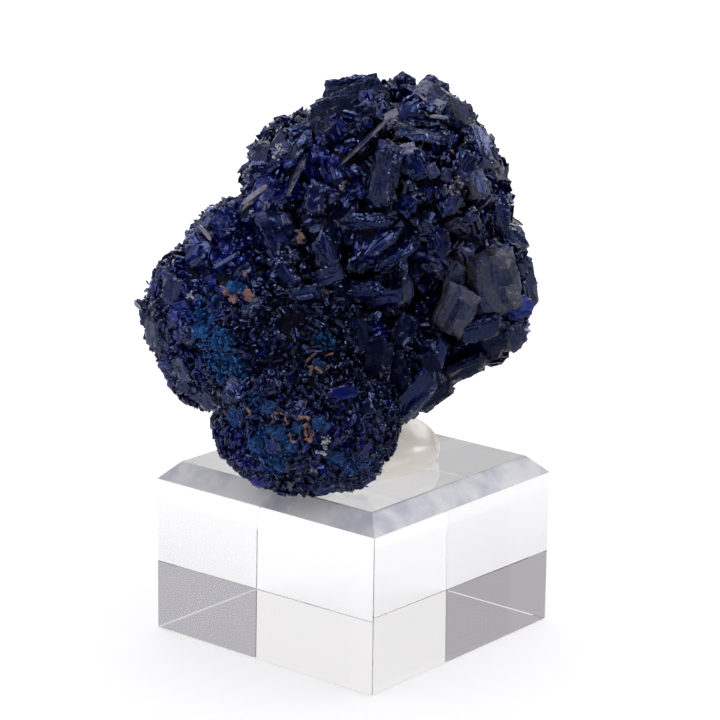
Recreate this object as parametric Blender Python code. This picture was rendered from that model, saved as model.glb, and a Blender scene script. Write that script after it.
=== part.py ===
"""An azurite specimen: a cluster of intergrown tabular crystals, bedded on a dome of clear glue
that holds it to a chamfered acrylic block.

Run with: blender --background --python part.py
Units are metres, +Z is up, and the origin is the middle of the block's underside.
"""

import math
import random

import bmesh
import bpy
from mathutils import Matrix, Vector, noise

MM = 0.001

# ---- Driving dimensions -------------------------------------------------------------------
BLOCK_SIDE = 40 * MM
BLOCK_HEIGHT = 25 * MM
BLOCK_CHAMFER = 2.5 * MM

DOME_RADIUS = 12.4 * MM
DOME_HEIGHT = 7.6 * MM
DOME_PROFILE_STEPS = 7
DOME_TURN_STEPS = 36

TOUCH_GAP = 0.3 * MM  # between pieces that touch
MOUNT_GAP = 0.35 * MM  # the crystals keep this far from the block and the dome

# The cluster's show face looks across the block's front corner. Its own axes are right, back
# and up as seen from in front of that face, and this turn about Z sets them on the block.
SHOW_TURN = math.radians(39.4)

# ---- The cluster's lobes ------------------------------------------------------------------
# The crystals' tips reach these ellipsoids, and the solid core lies under them.
# name: (centre right, back, up), (radii right, back, up), depth of the core; all in millimetres
LOBES = {
    "crown": ((4.5, 2.0, 63.4), (17.2, 16.5, 16.4), 2.8),
    "temple": ((-7.0, 2.0, 64.6), (10.0, 11.5, 10.4), 2.4),
    "collar": ((-15.2, 0.0, 56.0), (9.2, 9.0, 7.4), 2.0),
    "shoulder": ((11.2, 3.0, 61.2), (11.0, 12.5, 14.0), 2.8),
    "body": ((0.0, 1.0, 45.0), (15.5, 14.0, 13.5), 2.4),
    "left": ((-17.6, -3.0, 46.8), (12.9, 11.5, 12.6), 1.6),
    "chin": ((-20.2, -4.0, 41.6), (7.8, 8.4, 8.8), 1.6),
    "foot": ((-6.7, -16.6, 35.0), (13.1, 9.6, 10.2), 1.2),
    "seat": ((-1.0, -5.0, 37.0), (9.2, 9.0, 8.5), 0.0),
    "shelf": ((17.0, 2.0, 50.0), (8.6, 11.0, 12.2), 2.4),
    "heel": ((9.2, 0.0, 41.6), (7.4, 8.8, 7.6), 2.0),
    "back": ((-3.0, 12.0, 54.0), (15.0, 12.0, 15.0), 2.8),
    "saddle": ((-7.0, -5.0, 53.0), (9.0, 8.5, 9.5), 2.0),
    "apron": ((-9.5, -9.0, 43.5), (13.5, 11.0, 11.5), 1.6),
    "waist": ((2.0, -8.0, 40.5), (9.0, 9.0, 9.5), 1.6),
    "toe": ((-0.6, -15.8, 33.0), (5.2, 8.0, 7.6), 1.6),
}
LOBE_SUBDIVISIONS = 2
SUNK = 0.88  # a site this deep inside another lobe carries no crystal

# ---- Crystals that a rule places ----------------------------------------------------------
# lobe: spacing, length, width and thickness in mm, and the steepest tilt off the surface in degrees
GROWTH = {
    "crown": (7.0, 10.4, 7.4, 2.2, 78),
    "temple": (6.2, 7.4, 5.4, 1.8, 75),
    "collar": (5.8, 6.0, 5.0, 1.7, 60),
    "shoulder": (7.1, 10.0, 7.2, 2.2, 78),
    "body": (7.6, 9.4, 6.6, 2.1, 80),
    "left": (6.0, 6.8, 5.6, 2.0, 65),
    "chin": (5.8, 5.8, 4.8, 1.8, 60),
    "foot": (5.4, 5.6, 4.8, 1.7, 60),
    "seat": (5.4, 6.0, 4.6, 1.6, 60),
    "shelf": (6.6, 9.0, 7.0, 2.2, 55),
    "heel": (6.2, 7.0, 5.4, 1.8, 60),
    "back": (9.6, 12.8, 9.6, 2.8, 65),
    "saddle": (6.2, 6.8, 5.2, 1.7, 70),
    "apron": (6.0, 5.8, 4.8, 1.7, 65),
    "waist": (6.2, 6.4, 5.0, 1.8, 70),
    "toe": (5.2, 5.4, 4.6, 1.6, 60),
}
LEAST_TILT = 15.0
TIP_SCATTER = (-0.4 * MM, 1.2 * MM)  # how far a crystal's tip lies under or over its lobe
GRAIN_SCALE = 9 * MM  # crystals nearer to each other than this lie nearly parallel
OUTLINE_SIDES = (4, 5)
LEADER_SIDES = 6
OUTLINE_REACH = (0.76, 1.1)  # from a tablet's middle to its corners, as a share of its half size
SIZE_SCATTER = (0.75, 1.15)
RIM_TAPER = 0.84  # the small face of a tablet, as a share of the large one
DRAW_BACK_STEP = 0.7 * MM
DRAW_BACK_TRIES = 4
SEED = 11

# ---- The crystals that stand out, each in its own place -----------------------------------
# Outlines: the corners' distances from a plate's middle in turn, as shares of its half size.
SLAB = (0.98, 1.32, 0.95, 1.25, 1.02, 1.34, 0.97, 1.22)
DISC = (1.0, 0.97, 1.03, 0.98, 0.95, 1.0, 0.92, 1.02, 0.97, 1.0)
SLANTED = (1.05, 1.36, 0.9, 1.05, 1.02, 1.30, 0.86, 1.0)

# name: (centre right, back, up) in mm; the way its plate faces, as (bearing right of the
# show direction, elevation, turn of its length to the right of upright) in degrees;
# (length, width, thickness) in mm; and its outline, where it isn't drawn at random
LEADERS = {
    "summit_plate": ((-1.4, -3.4, 76.0), (-12, 48, 60), (11.6, 9.0, 1.2), SLANTED),
    "left_horn": ((-1.0, 0.4, 77.4), (-20, 10, 80), (8.6, 5.6, 1.0), SLAB),
    "leaning_sliver": ((0.6, -10.6, 72.8), (-92, 46, 2), (8.6, 4.4, 0.6), SLANTED),
    "leaning_edge": ((-8.6, -8.4, 67.6), (-80, 28, 5), (5.4, 4.0, 0.6), SLANTED),
    "top_knob": ((6.0, 2.0, 78.0), (10, 15, 5), (6.4, 4.4, 2.4)),
    "top_ridge": ((10.2, 1.0, 77.4), (20, 20, 60), (6.6, 6.4, 2.2)),
    "brow_disc": ((8.6, -5.5, 74.8), (40, 66, -60), (12.6, 10.4, 1.2), DISC),
    "roof_plate": ((14.0, 1.0, 73.4), (65, 35, 0), (13.2, 9.0, 1.8)),
    "roof_block": ((19.2, -1.5, 67.0), (30, 20, 10), (3.0, 2.6, 2.2)),
    "standing_blade": ((3.5, -13.6, 69.0), (-10, 5, 12), (9.5, 4.2, 1.8), SLAB),
    "shingle": ((7.2, -12.4, 69.8), (10, 45, 80), (3.6, 2.6, 1.2)),
    "ledge": ((1.5, -14.0, 62.7), (-5, -25, 85), (10.0, 3.4, 2.0)),
    "twin_blade_a": ((3.3, -13.8, 59.7), (-25, 20, 48), (8.5, 2.6, 1.4)),
    "twin_blade_b": ((5.4, -13.2, 58.0), (-25, 20, 50), (8.5, 2.4, 1.4)),
    "cheek_block": ((12.5, -11.5, 65.0), (20, 20, 30), (5.0, 3.6, 1.8)),
    "cheek_blade": ((11.2, -12.0, 59.6), (10, 10, -5), (6.0, 4.0, 1.4)),
    "edge_plate": ((19.8, -4.0, 62.0), (45, 10, 0), (7.0, 4.6, 1.8)),
    "temple_plate": ((-12.6, -4.5, 68.8), (-45, 35, 40), (7.0, 5.4, 1.8)),
    "left_sliver": ((-14.0, -5.4, 64.0), (-95, 48, 0), (5.4, 3.4, 0.6), SLANTED),
    "violet_plate": ((-15.4, -4.4, 59.5), (-25, 25, 20), (7.0, 6.5, 1.4), DISC),
    "grey_slab": ((-10.0, -8.6, 58.6), (10, 20, -20), (10.4, 6.4, 1.8), SLANTED),
    "inner_wall": ((-4.0, -12.0, 57.8), (20, 10, -10), (7.0, 5.0, 1.6)),
    "mid_ledge": ((1.0, -12.2, 52.4), (0, -20, 85), (7.0, 3.6, 1.6)),
    "mid_blade": ((7.0, -11.2, 52.7), (25, 5, -5), (5.5, 2.2, 1.2)),
    "right_ledge": ((21.4, -1.0, 57.8), (45, 30, -60), (7.0, 5.4, 1.8)),
    "right_point": ((23.8, -0.8, 51.4), (55, 5, -5), (8.8, 5.0, 1.6), SLANTED),
    "shelf_slab": ((19.2, -8.0, 53.0), (18, 4, -8), (9.4, 7.6, 2.6), SLAB),
    "shelf_step": ((13.6, -9.6, 49.4), (-12, -6, 25), (7.4, 5.6, 1.8), SLAB),
    "shelf_fan": ((17.0, -9.0, 46.6), (5, -18, 75), (6.4, 4.4, 1.6), SLANTED),
    "glint_face": ((22.8, -5.2, 48.8), (25, 25, 80), (4.8, 3.4, 1.4)),
    "round_plate": ((22.0, -4.5, 44.4), (20, 5, 0), (4.6, 4.4, 1.4), DISC),
    "under_plate": ((16.6, -5.8, 42.2), (8, -28, 66), (9.6, 6.0, 1.6), SLANTED),
    "tail_facet": ((9.6, -10.4, 43.6), (-10, 10, 40), (5.0, 3.6, 1.4)),
    "tail_blade": ((11.2, -9.8, 42.6), (35, -10, 5), (6.8, 3.4, 1.5)),
    "tail_plate": ((7.4, -7.8, 36.6), (5, -15, 30), (6.0, 5.0, 1.8)),
    "left_plate": ((-22.0, -8.4, 56.6), (-35, 25, 40), (6.0, 5.0, 1.4), DISC),
    "left_facet": ((-23.5, -12.2, 46.4), (-30, 0, 10), (4.6, 4.2, 1.4), DISC),
    "blue_lens": ((-1.6, -21.6, 40.0), (0, 10, 85), (4.8, 2.4, 1.4)),
}

GOLDEN_ANGLE = math.pi * (3 - math.sqrt(5))


def collection(name):
    """A new collection, linked to the scene."""
    made = bpy.data.collections.new(name)
    bpy.context.scene.collection.children.link(made)
    return made


def material(name, colour, roughness, metallic=0.0, transmission=0.0, ior=1.5):
    """A Principled material."""
    made = bpy.data.materials.new(name)
    made.use_nodes = True
    shader = made.node_tree.nodes["Principled BSDF"]
    shader.inputs["Base Color"].default_value = (*colour, 1.0)
    shader.inputs["Roughness"].default_value = roughness
    shader.inputs["Metallic"].default_value = metallic
    shader.inputs["Transmission Weight"].default_value = transmission
    shader.inputs["IOR"].default_value = ior
    return made


def add_object(name, bm, home, skin=None):
    """Makes bm an object in the collection home."""
    mesh = bpy.data.meshes.new(name)
    bm.to_mesh(mesh)
    bm.free()
    made = bpy.data.objects.new(name, mesh)
    home.objects.link(made)
    if skin is not None:
        mesh.materials.append(skin)
    return made


def on_cluster(right, back, up):
    """A point or direction on the cluster's own axes, in world axes."""
    return Matrix.Rotation(SHOW_TURN, 3, "Z") @ Vector((right, back, up))


class Lobe:
    """An ellipsoid of the cluster's body, with its axes along the cluster's."""

    def __init__(self, name):
        centre, radii, core_depth = LOBES[name]
        self.name = name
        self.centre = on_cluster(*(value * MM for value in centre))
        self.radii = Vector(value * MM for value in radii)
        self.turn = Matrix.Rotation(SHOW_TURN, 3, "Z")
        self.core_depth = core_depth * MM

    def point(self, direction):
        """The surface point that a unit direction on the lobe's own axes leads to, and its normal."""
        local = Vector(d * r for d, r in zip(direction, self.radii))
        normal = Vector(d / r for d, r in zip(direction, self.radii)).normalized()
        return self.centre + self.turn @ local, self.turn @ normal

    def depth(self, point):
        """0 at the centre, 1 on the surface and more outside."""
        local = self.turn.transposed() @ (point - self.centre)
        return Vector(v / r for v, r in zip(local, self.radii)).length

    def area(self):
        """About the area of the surface, from the mean radius."""
        return 4 * math.pi * (sum(self.radii) / 3) ** 2

    def matrix(self, grow=0.0):
        """Places a unit sphere as this lobe, its radii larger by grow."""
        scale = Matrix.Diagonal((*(r + grow for r in self.radii), 1.0))
        return Matrix.Translation(self.centre) @ self.turn.to_4x4() @ scale


def spiral_directions(count):
    """Unit directions spread evenly over a sphere."""
    for i in range(count):
        height = 1 - 2 * (i + 0.5) / count
        ring = math.sqrt(1 - height * height)
        angle = i * GOLDEN_ANGLE
        yield Vector((ring * math.cos(angle), ring * math.sin(angle), height))


def clear_of_mount(points):
    """Whether all the points lie above the block and outside the dome, with the gap."""
    cap_centre, cap_radius = dome_sphere()
    return all(
        point.z > BLOCK_HEIGHT + MOUNT_GAP and (point - cap_centre).length > cap_radius + MOUNT_GAP
        for point in points
    )


def dome_sphere():
    """The centre and radius of the sphere that the dome is a cap of."""
    radius = (DOME_RADIUS**2 + DOME_HEIGHT**2) / (2 * DOME_HEIGHT)
    return Vector((0, 0, BLOCK_HEIGHT + TOUCH_GAP + DOME_HEIGHT - radius)), radius


def growth_sites(lobes):
    """(lobe, point, normal) where the rule grows a crystal."""
    for lobe in lobes:
        spacing = GROWTH[lobe.name][0] * MM
        for direction in spiral_directions(round(lobe.area() / spacing**2)):
            point, normal = lobe.point(direction)
            sunk = any(other.depth(point) < SUNK for other in lobes if other is not lobe)
            if not sunk and not under_a_leader(point):
                yield lobe, point, normal


def under_a_leader(point):
    """Whether a leader's plate takes the place of a crystal at this point."""
    for centre, _, (_, width, _), *_ in LEADERS.values():
        if (on_cluster(*(value * MM for value in centre)) - point).length < width * MM * 0.5:
            return True
    return False


def leader_axes(bearing, elevation, turn):
    """The turn of a leader: X along its length, Z the way its plate faces."""
    bearing, elevation, turn = (math.radians(value) for value in (bearing, elevation, turn))
    plate = on_cluster(
        math.sin(bearing) * math.cos(elevation),
        -math.cos(bearing) * math.cos(elevation),
        math.sin(elevation),
    )
    upright = (Vector((0, 0, 1)) - plate * plate.z).normalized()
    along = upright * math.cos(turn) + upright.cross(plate) * math.sin(turn)
    return Matrix((along, plate.cross(along), plate)).transposed()


def crystal_axes(point, normal, steepest, rng):
    """The turn of a tablet at this site: X along its length, Z square to its plate.

    The plate's heading comes from a smooth noise, so that neighbours lie nearly parallel.
    """
    sway = noise.noise(point / GRAIN_SCALE) * 2 * math.pi + rng.uniform(-0.5, 0.5)
    side = normal.orthogonal().normalized()
    side.rotate(Matrix.Rotation(sway, 3, normal))
    tilt = math.radians(rng.uniform(LEAST_TILT, steepest))
    plate = normal.copy()
    plate.rotate(Matrix.Rotation(tilt, 3, side))
    along = plate.cross(side)
    if along.dot(normal) < 0:
        along.negate()
    across = plate.cross(along)
    return Matrix((along, across, plate)).transposed()


def drawn_outline(sides, rng):
    """A random outline with this many corners."""
    return [rng.uniform(*OUTLINE_REACH) for _ in range(sides)]


def tablet(size, reaches):
    """A tabular crystal about the origin: a many-sided plate with one face a little smaller."""
    sides = len(reaches)
    bm = bmesh.new()
    bmesh.ops.create_cone(
        bm, cap_ends=True, segments=sides, radius1=0.5, radius2=0.5 * RIM_TAPER, depth=1.0
    )
    for vert in bm.verts:
        turn = math.atan2(vert.co.y, vert.co.x) / (2 * math.pi) * sides
        vert.co.xy *= reaches[round(turn) % sides]
    bmesh.ops.scale(bm, vec=size, verts=bm.verts)
    return bm


def leader_crystals(rng):
    """A bmesh for each leader, in its place."""
    for centre, facing, size, *outline in LEADERS.values():
        drawn = drawn_outline(LEADER_SIDES, rng)
        bm = tablet([value * MM for value in size], *(outline or [drawn]))
        place = Matrix.Translation(on_cluster(*(value * MM for value in centre)))
        bm.transform(place @ leader_axes(*facing).to_4x4())
        yield bm


def ruled_crystals(rng):
    """A bmesh for each crystal that the rule places, drawn back where the mount is in its way."""
    for lobe, point, normal in growth_sites([Lobe(name) for name in LOBES]):
        scale = rng.uniform(*SIZE_SCATTER) * MM
        size = [value * scale for value in GROWTH[lobe.name][1:4]]
        turn = crystal_axes(point, normal, GROWTH[lobe.name][4], rng)
        reach = sum(abs(axis.dot(normal)) * side for axis, side in zip(turn.col, size)) / 2
        tip = rng.uniform(*TIP_SCATTER)
        bm = tablet(size, drawn_outline(rng.choice(OUTLINE_SIDES), rng))
        bm.transform(Matrix.Translation(point + normal * (tip - reach)) @ turn.to_4x4())
        for _ in range(DRAW_BACK_TRIES):
            if clear_of_mount(vert.co for vert in bm.verts):
                yield bm
                break
            bmesh.ops.translate(bm, vec=-normal * DRAW_BACK_STEP, verts=bm.verts)


def fuse(base, others):
    """Joins the other objects to base with one Boolean union, and leaves base a plain mesh."""
    joint = base.modifiers.new("join", "BOOLEAN")
    joint.operation = "UNION"
    joint.solver = "EXACT"
    joint.operand_type = "COLLECTION"
    joint.collection = others
    graph = bpy.context.evaluated_depsgraph_get()
    joined = bpy.data.meshes.new_from_object(base.evaluated_get(graph))
    base.modifiers.clear()
    base.data = joined
    fill_sealed_hollows(joined)


def fill_sealed_hollows(mesh):
    """Removes every closed surface but the longest one, which is the outside."""
    bm = bmesh.new()
    bm.from_mesh(mesh)
    unseen = set(bm.verts)
    shells = []
    while unseen:
        shell, front = set(), [unseen.pop()]
        while front:
            vert = front.pop()
            shell.add(vert)
            near = {edge.other_vert(vert) for edge in vert.link_edges} & unseen
            unseen -= near
            front.extend(near)
        shells.append(shell)
    outside = max(shells, key=len)
    bmesh.ops.delete(bm, geom=[v for v in bm.verts if v not in outside], context="VERTS")
    bm.to_mesh(mesh)
    bm.free()


def azurite_cluster(home, helpers, skin):
    """The crystal cluster: its lobes and tablets as one solid."""
    base = None
    for name in LOBES:
        lobe = Lobe(name)
        bm = bmesh.new()
        bmesh.ops.create_icosphere(bm, subdivisions=LOBE_SUBDIVISIONS, radius=1.0)
        bm.transform(lobe.matrix(grow=-lobe.core_depth))
        made = add_object(f"core_{name}", bm, helpers if base else home)
        base = base or made
    rng = random.Random(SEED)
    for number, bm in enumerate([*leader_crystals(rng), *ruled_crystals(rng)]):
        add_object(f"tablet_{number:03d}", bm, helpers)
    fuse(base, helpers)
    base.name = base.data.name = "azurite_cluster"
    base.data.materials.clear()
    base.data.materials.append(skin)
    return base


def acrylic_block(home, skin):
    """The square block, with a wide chamfer round its top."""
    bm = bmesh.new()
    bmesh.ops.create_cube(bm, size=1.0)
    bmesh.ops.scale(bm, vec=(BLOCK_SIDE, BLOCK_SIDE, BLOCK_HEIGHT), verts=bm.verts)
    bmesh.ops.translate(bm, vec=(0, 0, BLOCK_HEIGHT / 2), verts=bm.verts)
    top = [e for e in bm.edges if all(v.co.z > BLOCK_HEIGHT * 0.99 for v in e.verts)]
    bmesh.ops.bevel(
        bm, geom=top, offset=BLOCK_CHAMFER, segments=1, profile=0.5, affect="EDGES"
    )
    return add_object("acrylic_block", bm, home, skin)


def glue_dome(home, helpers, skin):
    """The dome of clear glue, dimpled where the cluster's lobes are pressed into it."""
    centre, radius = dome_sphere()
    rim = math.asin(DOME_RADIUS / radius)
    bm = bmesh.new()
    profile = [bm.verts.new((0, 0, centre.z + radius))]
    for step in range(1, DOME_PROFILE_STEPS + 1):
        angle = rim * step / DOME_PROFILE_STEPS
        profile.append(
            bm.verts.new((radius * math.sin(angle), 0, centre.z + radius * math.cos(angle)))
        )
    profile.append(bm.verts.new((0, 0, BLOCK_HEIGHT + TOUCH_GAP)))
    for a, b in zip(profile, profile[1:]):
        bm.edges.new((a, b))
    bmesh.ops.spin(
        bm,
        geom=bm.verts[:] + bm.edges[:],
        cent=(0, 0, 0),
        axis=(0, 0, 1),
        angle=2 * math.pi,
        steps=DOME_TURN_STEPS,
        use_merge=True,
    )
    bmesh.ops.remove_doubles(bm, verts=bm.verts, dist=0.01 * MM)
    bmesh.ops.recalc_face_normals(bm, faces=bm.faces)
    dome = add_object("glue_dome", bm, home, skin)
    for name in ("seat", "foot", "toe"):
        press = bmesh.new()
        bmesh.ops.create_icosphere(press, subdivisions=LOBE_SUBDIVISIONS, radius=1.0)
        lobe = Lobe(name)
        press.transform(lobe.matrix(grow=TOUCH_GAP - lobe.core_depth))
        cutter = add_object(f"press_{name}", press, helpers)
        cut = dome.modifiers.new(f"pressed_by_{name}", "BOOLEAN")
        cut.operation = "DIFFERENCE"
        cut.solver = "EXACT"
        cut.object = cutter
    return dome


def main():
    for old in list(bpy.data.objects):
        bpy.data.objects.remove(old, do_unlink=True)
    parts = collection("azurite_specimen")
    crystals = collection("crystals_to_fuse")
    presses = collection("dome_presses")
    azurite = material("azurite", (0.012, 0.018, 0.085), 0.32, ior=1.75)
    glue = material("clear_glue", (0.86, 0.85, 0.81), 0.25, transmission=0.6)
    acrylic = material("clear_acrylic", (0.97, 0.98, 0.99), 0.03, transmission=1.0, ior=1.49)
    azurite_cluster(parts, crystals, azurite)
    glue_dome(parts, presses, glue)
    acrylic_block(parts, acrylic)
    for helper in [*crystals.objects, *presses.objects]:
        helper.hide_render = True
        helper.display_type = "WIRE"


main()
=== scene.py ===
"""Looks of an azurite specimen: tabular crystals grown over a lobed body, bedded in a dome of
clear glue on a clear acrylic block with a chamfered top.

The cluster's own axes are right, back and up as seen from in front of its show face. Lengths in
the tables are millimetres on those axes; meshes are metres on the block's axes.
"""

import logging
import math
import random
from dataclasses import dataclass, field
from enum import Enum
from typing import Any, Iterable, Iterator, Sequence

import bmesh
import bpy
import numpy as np
from mathutils import Euler, Matrix, Vector, noise


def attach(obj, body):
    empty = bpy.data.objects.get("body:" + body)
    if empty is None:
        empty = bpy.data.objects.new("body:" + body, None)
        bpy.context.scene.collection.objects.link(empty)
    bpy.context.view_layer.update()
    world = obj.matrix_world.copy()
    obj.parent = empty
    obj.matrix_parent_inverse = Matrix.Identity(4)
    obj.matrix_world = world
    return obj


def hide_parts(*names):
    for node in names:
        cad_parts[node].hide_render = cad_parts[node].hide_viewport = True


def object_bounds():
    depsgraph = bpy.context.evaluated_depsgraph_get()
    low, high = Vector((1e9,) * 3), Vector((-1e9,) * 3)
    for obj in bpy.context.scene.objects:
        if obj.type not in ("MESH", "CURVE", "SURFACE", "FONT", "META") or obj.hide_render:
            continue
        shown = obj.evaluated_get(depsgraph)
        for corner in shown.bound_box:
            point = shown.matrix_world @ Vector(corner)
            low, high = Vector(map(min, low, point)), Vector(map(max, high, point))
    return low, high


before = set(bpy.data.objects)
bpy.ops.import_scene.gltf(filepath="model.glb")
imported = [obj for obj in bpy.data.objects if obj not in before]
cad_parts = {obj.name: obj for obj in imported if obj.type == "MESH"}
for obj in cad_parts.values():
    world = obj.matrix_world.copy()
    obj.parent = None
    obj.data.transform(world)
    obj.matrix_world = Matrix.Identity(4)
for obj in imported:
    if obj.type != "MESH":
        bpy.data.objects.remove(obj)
CAD_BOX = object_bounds()

LOG = logging.getLogger("azurite")

Triple = tuple[float, float, float]
Colour = tuple[float, float, float]

MM = 0.001
SHOW_TURN = math.radians(39.4)
CLUSTER_TURN = np.array(Matrix.Rotation(SHOW_TURN, 3, "Z"))
GOLDEN_ANGLE = math.pi * (3 - math.sqrt(5))

BLOCK_SIDE = 40 * MM
BLOCK_HEIGHT = 25 * MM
BLOCK_CHAMFER = 2.5 * MM
DOME_RADIUS = 12.4 * MM
DOME_HEIGHT = 7.6 * MM
TOUCH_GAP = 0.3 * MM
MOUNT_GAP = 0.35 * MM


# ---- Shader graph -------------------------------------------------------------------------


class Wire:
    """One output of a shader node, which Python's arithmetic extends with Math nodes."""

    def __init__(self, graph: "Graph", socket: bpy.types.NodeSocket) -> None:
        """Keeps the graph that the socket belongs to."""
        self.graph = graph
        self.socket = socket

    def also(self, output: str) -> "Wire":
        """Another output of the same node."""
        return Wire(self.graph, self.socket.node.outputs[output])

    def math(self, operation: str, *others: "Wire | float", clamp: bool = False) -> "Wire":
        """A Math node on this value and the others.

        Args:
            operation: The node's operation.
            others: The node's further values.
            clamp: Whether the result is held between 0 and 1.

        Returns:
            The result.
        """
        settings = {"operation": operation, "use_clamp": clamp}
        return self.graph.add("ShaderNodeMath", settings, dict(enumerate((self, *others))))

    def __add__(self, other: "Wire | float") -> "Wire":
        """The sum."""
        return self.math("ADD", other)

    __radd__ = __add__

    def __mul__(self, other: "Wire | float") -> "Wire":
        """The product."""
        return self.math("MULTIPLY", other)

    __rmul__ = __mul__

    def __sub__(self, other: "Wire | float") -> "Wire":
        """The difference."""
        return self.math("SUBTRACT", other)

    def __rsub__(self, other: float) -> "Wire":
        """A number less this value."""
        settings = {"operation": "SUBTRACT"}
        return self.graph.add("ShaderNodeMath", settings, {0: other, 1: self})

    def held(self) -> "Wire":
        """This value, held between 0 and 1."""
        return self.math("ADD", 0.0, clamp=True)

    def eased(self, low: float, high: float) -> "Wire":
        """0 below low and 1 above high, with a smooth step between."""
        settings = {"interpolation_type": "SMOOTHSTEP"}
        values = {0: self, 1: low, 2: high, 3: 0.0, 4: 1.0}
        return self.graph.add("ShaderNodeMapRange", settings, values)


class Graph:
    """The nodes of a material or of the sky."""

    def __init__(self, tree: bpy.types.NodeTree) -> None:
        """Keeps the tree's nodes and links."""
        self.nodes = tree.nodes
        self.links = tree.links

    def add(
        self,
        kind: str,
        settings: dict[str, Any] | None = None,
        values: dict[int | str, Any] | None = None,
        output: int | str = 0,
    ) -> Wire:
        """Adds a node.

        Args:
            kind: The node's type.
            settings: Its properties, which are set first.
            values: Its sockets' values or links, by index or name.
            output: Which output is wanted.

        Returns:
            That output.
        """
        node = self.nodes.new(kind)
        for name, value in (settings or {}).items():
            setattr(node, name, value)
        for name, value in (values or {}).items():
            if isinstance(value, Wire):
                self.links.new(value.socket, node.inputs[name])
            else:
                node.inputs[name].default_value = value
        return Wire(self, node.outputs[output])

    def mix(self, factor: Wire, first: Wire | Colour, second: Wire | Colour) -> Wire:
        """The first colour where factor is 0 and the second where it is 1."""
        colours = [c if isinstance(c, Wire) else (*c, 1.0) for c in (first, second)]
        values = {0: factor, 6: colours[0], 7: colours[1]}
        return self.add("ShaderNodeMix", {"data_type": "RGBA"}, values, output=2)


class Paint(Graph):
    """A material's nodes, round its Principled shader."""

    def __init__(self, name: str, **constants: float | Sequence[float]) -> None:
        """Makes the material.

        Args:
            name: The material's name.
            constants: Values of the shader's own sockets, with _ for a blank in their names.
        """
        self.material = bpy.data.materials.new(name)
        self.material.use_nodes = True
        super().__init__(self.material.node_tree)
        self.shader = self.nodes["Principled BSDF"]
        for socket, value in constants.items():
            self.shader.inputs[socket.replace("_", " ")].default_value = value

    def place(self, scale: Triple = (1.0, 1.0, 1.0)) -> Wire:
        """The point on the object, in metres times scale."""
        here = self.add("ShaderNodeTexCoord", output="Object")
        return self.add("ShaderNodeMapping", values={"Vector": here, "Scale": scale})

    def noise(self, where: Wire, size: float, detail: float = 3.0, rough: float = 0.55) -> Wire:
        """A noise whose features are about size across, in the units of where."""
        values = {"Vector": where, "Scale": 1.0 / size, "Detail": detail, "Roughness": rough}
        return self.add("ShaderNodeTexNoise", {}, values)

    def bump(self, height: Wire, depth: float, strength: float = 1.0) -> Wire:
        """A normal from a height, where height 1 stands depth metres above height 0."""
        values = {"Height": height, "Distance": depth, "Strength": strength}
        return self.add("ShaderNodeBump", {}, values)

    def feed(self, **wires: Wire) -> None:
        """Links values to the shader's sockets, with _ for a blank in their names."""
        for socket, wire in wires.items():
            self.links.new(wire.socket, self.shader.inputs[socket.replace("_", " ")])


# ---- Finishes -----------------------------------------------------------------------------


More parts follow.
